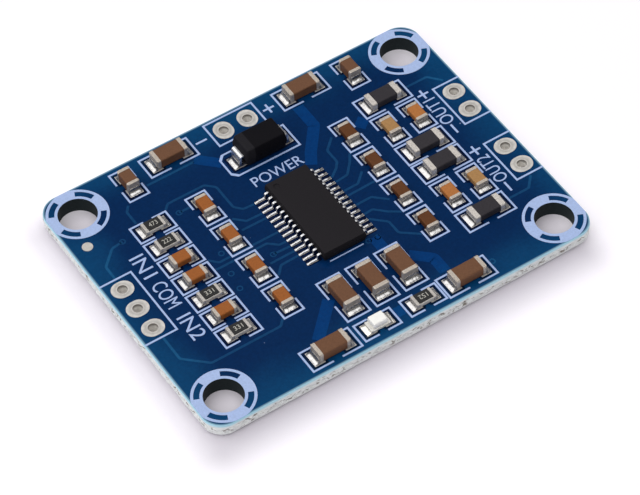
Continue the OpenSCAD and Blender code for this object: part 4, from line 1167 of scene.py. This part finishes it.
class AMPLIFIER_OT_ceramics(bpy.types.Operator):
    """Chip capacitors and ferrite beads"""
    bl_idname = "amplifier.ceramics"
    bl_label = "Capacitors and beads"

    def execute(self, context):
        colours = context.scene.board_colours
        # Sintered dielectric: an even, dry colour with fine grain and a faint sheen from tumbling
        inner, outer = family("output_capacitor")[1:3], family("output_capacitor")[::3]
        for nodes, colour, tint in ((family("input_capacitor"), colours.tan, "tan"),
                                    (family("bootstrap_capacitor"), colours.dark_brown, "dark brown"),
                                    (inner, colours.orange, "orange"),
                                    (outer, colours.pale, "pale orange"),
                                    (family("corner_capacitor"), colours.brown, "chestnut"),
                                    (family("supply_capacitor"), colours.brown, "brown")):
            dress(surface("dielectric ceramic, sintered " + tint, colour, tone=0.12, grain=0.14 * MM,
                          rough=(0.42, 0.6), relief=0.006 * MM, Specular_IOR_Level=0.12), *nodes)
        # Sintered ferrite: charcoal, denser and slightly metallic in its sheen
        dress(surface("ferrite, sintered", colours.ferrite, tone=0.15, grain=0.12 * MM, rough=(0.4, 0.58),
                      relief=0.006 * MM, Specular_IOR_Level=0.1), *family("output_bead"))
        return {"FINISHED"}


class AMPLIFIER_OT_stage(bpy.types.Operator):
    """Camera, soft light from above and a white floor that keeps the shadow"""
    bl_idname = "amplifier.stage"
    bl_label = "Stage"

    def execute(self, context):
        scene, stage = context.scene, context.scene.stage_settings
        scene.view_settings.view_transform = "Standard"
        data = bpy.data.cameras.new("camera")
        data.lens = stage.lens
        data.sensor_fit = "HORIZONTAL"
        data.sensor_width = 36.0
        data.clip_start = 0.005
        data.clip_end = 10.0
        camera = show("camera", data)
        camera.location = stage.camera_place
        camera.rotation_euler = stage.camera_turn
        scene.camera = camera
        lamp = bpy.data.lights.new("softbox", "AREA")
        lamp.shape = "SQUARE"
        lamp.size = stage.softbox
        lamp.energy = stage.softbox_power
        light = show("softbox", lamp)
        light.location = stage.softbox_place
        light.rotation_euler = (-Vector(stage.softbox_place)).to_track_quat("-Z", "Y").to_euler()
        self.surroundings(scene, stage)
        self.floor(context.scene.board_colours, stage)
        return {"FINISHED"}

    def surroundings(self, scene, stage):
        """Weak, even light from all sides."""
        world = bpy.data.worlds.new("studio")
        world.use_nodes = True
        tree = world.node_tree
        tree.nodes.clear()
        sky = add(tree, "ShaderNodeBackground", {"Color": (1.0, 1.0, 1.0, 1.0), "Strength": stage.sky})
        add(tree, "ShaderNodeOutputWorld", {"Surface": sky.outputs[0]})
        scene.world = world

    def seen(self, tree):
        """One on rays that show the surroundings: from the camera, in gloss and through glass."""
        path = add(tree, "ShaderNodeLightPath").outputs
        either = add(tree, "ShaderNodeMath", {0: path["Is Camera Ray"], 1: path["Is Glossy Ray"]},
                     operation="MAXIMUM").outputs[0]
        return add(tree, "ShaderNodeMath", {0: either, 1: path["Is Transmission Ray"]},
                   operation="MAXIMUM").outputs[0]

    def floor(self, colours, stage):
        """Painted board: white, matt, and made to glow enough to vanish, except in a box round the board where the
        glow fades out as a painted shadow over the object's own shadow.
        """
        material, tree = blank("white paint, rolled")
        paint = add(tree, "ShaderNodeBsdfDiffuse", {"Color": tuple(colours.floor)})
        place = add(tree, "ShaderNodeTexCoord").outputs["Object"]
        # Painted shadow: the glow is left out in a box round the board and fades in over shadow_fade.
        shadow = add(tree, "ShaderNodeVectorMath", {0: place, 1: (stage.shadow_left, stage.shadow_front, 0.0)},
                     operation="ADD").outputs[0]
        past = outside(tree, shadow, stage.shadow_long, stage.shadow_wide)
        lift = add(tree, "ShaderNodeMapRange", {0: past, 1: 0.0, 2: stage.shadow_fade, 3: 0.0,
                                                4: stage.floor_lift}, interpolation_type="SMOOTHSTEP").outputs[0]
        glow = add(tree, "ShaderNodeEmission", {"Color": (1.0, 1.0, 1.0, 1.0), "Strength": lift})
        near = add(tree, "ShaderNodeAddShader", {0: paint.outputs[0], 1: glow.outputs[0]})
        reach = add(tree, "ShaderNodeVectorMath", {0: place}, operation="LENGTH").outputs["Value"]
        distance = add(tree, "ShaderNodeMapRange", {0: reach, 1: stage.white_near, 2: stage.white_far}).outputs[0]
        far = add(tree, "ShaderNodeMath", {0: distance, 1: self.seen(tree)}, operation="MULTIPLY").outputs[0]
        white = add(tree, "ShaderNodeEmission", {"Color": (1.0, 1.0, 1.0, 1.0), "Strength": 1.0})
        both = add(tree, "ShaderNodeMixShader", {0: far, 1: near.outputs[0], 2: white.outputs[0]})
        add(tree, "ShaderNodeOutputMaterial", {"Surface": both.outputs[0]})
        bm = bmesh.new()
        bmesh.ops.create_grid(bm, x_segments=1, y_segments=1, size=stage.floor_reach)
        bmesh.ops.translate(bm, verts=bm.verts, vec=(0.0, 0.0, -stage.floor_gap))
        show("floor", plain_mesh("floor", bm, material))


OPERATORS = (AMPLIFIER_OT_laminate, AMPLIFIER_OT_tracks, AMPLIFIER_OT_print, AMPLIFIER_OT_pads,
             AMPLIFIER_OT_solder, AMPLIFIER_OT_moulded, AMPLIFIER_OT_lamp, AMPLIFIER_OT_resistors,
             AMPLIFIER_OT_ceramics, AMPLIFIER_OT_stage)


class AMPLIFIER_PT_panel(bpy.types.Panel):
    """Lists the steps that build the board's looks"""
    bl_label = "Amplifier board"
    bl_idname = "AMPLIFIER_PT_panel"
    bl_space_type = "VIEW_3D"
    bl_region_type = "UI"
    bl_category = "Amplifier"

    def draw(self, context):
        for operator in OPERATORS:
            self.layout.operator(operator.bl_idname)


CLASSES = (BoardSizes, BoardColours, StageSettings) + OPERATORS + (AMPLIFIER_PT_panel,)


def register():
    for item in CLASSES:
        bpy.utils.register_class(item)
    bpy.types.Scene.board_sizes = PointerProperty(type=BoardSizes)
    bpy.types.Scene.board_colours = PointerProperty(type=BoardColours)
    bpy.types.Scene.stage_settings = PointerProperty(type=StageSettings)


def unregister():
    del bpy.types.Scene.stage_settings
    del bpy.types.Scene.board_colours
    del bpy.types.Scene.board_sizes
    for item in reversed(CLASSES):
        bpy.utils.unregister_class(item)


def main():
    register()
    for operator in OPERATORS:
        getattr(bpy.ops.amplifier, operator.bl_idname.partition(".")[2])()


if __name__ == "__main__":
    main()
